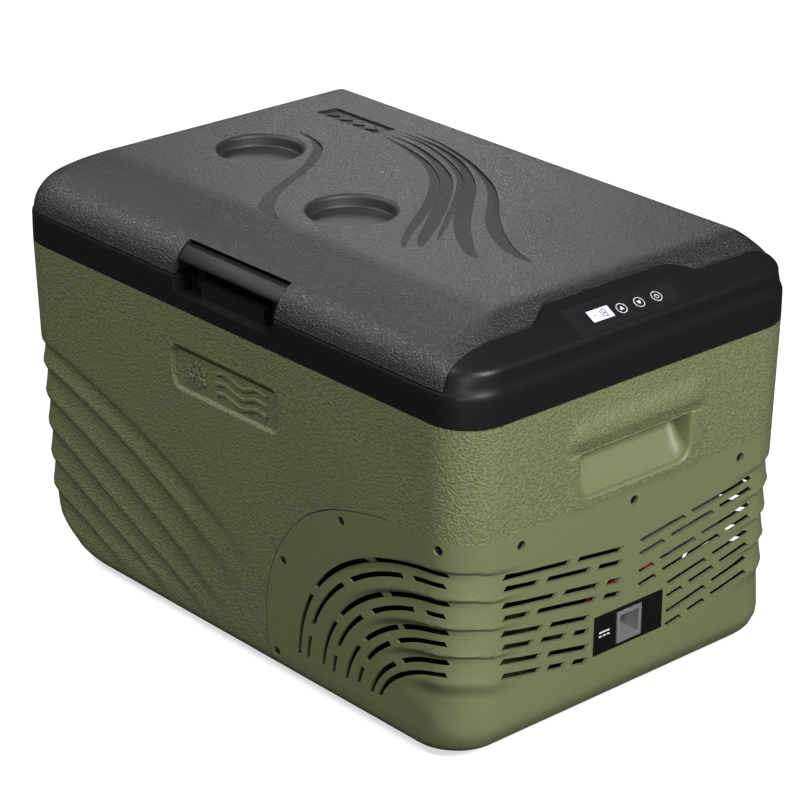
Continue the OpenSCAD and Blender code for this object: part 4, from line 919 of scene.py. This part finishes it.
digits = bmesh.new()
segments = {"top": (-3.6, 0, 90), "mid": (0, 0, 90), "low": (3.6, 0, 90), "tl": (-1.8, -1.6, 0),
            "tr": (-1.8, 1.6, 0), "bl": (1.8, -1.6, 0), "br": (1.8, 1.6, 0)}
for y, lit in ((-36.2, ("mid",)), (-30.8, ("tr", "br")), (-25.4, ("top", "mid", "low", "tl", "tr", "bl", "br"))):
    for key in lit:
        dx, dy, turned = segments[key]
        bar(digits, dx, y + dy, 2.6 if turned else 3.0, 0.8, 0 if turned else 90)
piece(on_console(digits), "display_digits", key_finish, "body")

def stroke(bm, path, wide, low, high, axis="z"):
    """A line of even width drawn along path, raised from low to high."""
    path = [np.array(p, float) for p in path]
    left, right = [], []
    for k, point in enumerate(path):
        ahead = path[min(k + 1, len(path) - 1)] - path[max(k - 1, 0)]
        across = np.array([-ahead[1], ahead[0]]) / np.hypot(*ahead) * wide / 2
        left.append(tuple(point + across))
        right.append(tuple(point - across))
    return prism(left + right[::-1], axis, low, high, bm)

def circle_path(x, y, radius, first=0, last=180, count=18):
    turns = [radians(first + (last - first) * k / count) for k in range(count + 1)]
    return [(x - radius * cos(t), y + radius * sin(t)) for t in turns]

for name, y in (("up", -8), ("down", 11.6), ("power", 31.2)):
    mark = bmesh.new()
    for first in (0, 180):
        stroke(mark, circle_path(1.5, y, 4.75, first, first + 180, 24), 0.55, -0.02, 0.1)
    if name == "power":
        stroke(mark, circle_path(1.6, y, 1.9, 40, 320, 20), 0.55, -0.02, 0.1)
        stroke(mark, [(-1.0, y), (1.5, y)], 0.55, -0.02, 0.1)
    else:
        tip = -1 if name == "up" else 1
        prism([(1.5 + tip * 2.2, y), (1.5 - tip * 1.5, y - 2.2), (1.5 - tip * 1.5, y + 2.2)], "z", -0.02, 0.1, mark)
    piece(on_console(mark), "mark_" + name, print_white, "key_" + name)

outline = bmesh.new()
for x in (-13.4, 13.4):
    stroke(outline, [(x, -61), (x, 61)], 0.3, -0.02, 0.06)
for y in (-61, 61):
    stroke(outline, [(-13.4, y), (13.4, y)], 0.3, -0.02, 0.06)
piece(on_console(outline), "panel_line", latch_finish, "body")

# %% Emblem, name plate and inlet symbol
def snowflake(bm, x, z, size, wide, low, high, axis):
    for k in range(6):
        a = radians(60 * k + 30)
        tip = (x + size * cos(a), z + size * sin(a))
        stroke(bm, [(x, z), tip], wide, low, high, axis)
        fork = (x + 0.55 * size * cos(a), z + 0.55 * size * sin(a))
        for turn in (-0.9, 0.9):
            barb = (fork[0] + 0.36 * size * cos(a + turn), fork[1] + 0.36 * size * sin(a + turn))
            stroke(bm, [fork, barb], wide * 0.8, low, high, axis)
    return bm

def ripple(bm, x, z, long, high_wave, wide, low, high, axis):
    """A wave line made of one and a half swells."""
    path = [(x + long * t / 24, z + high_wave * sin(t / 24 * 3 * math.pi)) for t in range(25)]
    return stroke(bm, path, wide, low, high, axis)

floor_y = -HALF_W + 6 * (BODY_TOP - 243) / 292 + 2.7
motif = snowflake(bmesh.new(), -38, 243.5, 13, 3.0, floor_y + 1, floor_y - 1.5, "y")
for z in (234.5, 243.5, 252.5):
    ripple(motif, -14, z, 66, 2.6, 3.4, floor_y + 1, floor_y - 1.5, "y")
piece(rounded_off(motif, 0.5), "emblem_fine", shell_finish, "body", ["front_emblem"])

plate = prism([(-210, 92), (-133, 92), (-129.5, 111), (-206.5, 111)], "z", LID_TOP - 3.0, LID_TOP - 1.7)
for k in range(4):
    x = -196 + 17 * k
    stroke(plate, [(x - 4, 96), (x + 5, 101.5), (x - 2.5, 107)], 2.6, LID_TOP - 2.0, LID_TOP - 0.8)
piece(rounded_off(plate, 0.3), "nameplate_fine", plate_black, "lid", ["nameplate"])

plate_face = max(v.co.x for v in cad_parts["inlet_plate"].data.vertices) / MM
symbol = bmesh.new()
stroke(symbol, [(-34, 79), (-22, 79)], 1.3, plate_face - 0.25, plate_face + 0.1, "x")
for k in range(3):
    stroke(symbol, [(-34 + 4.5 * k, 75.5), (-31 + 4.5 * k, 75.5)], 1.3, plate_face - 0.25, plate_face + 0.1, "x")
piece(symbol, "inlet_symbol", print_white, "body")
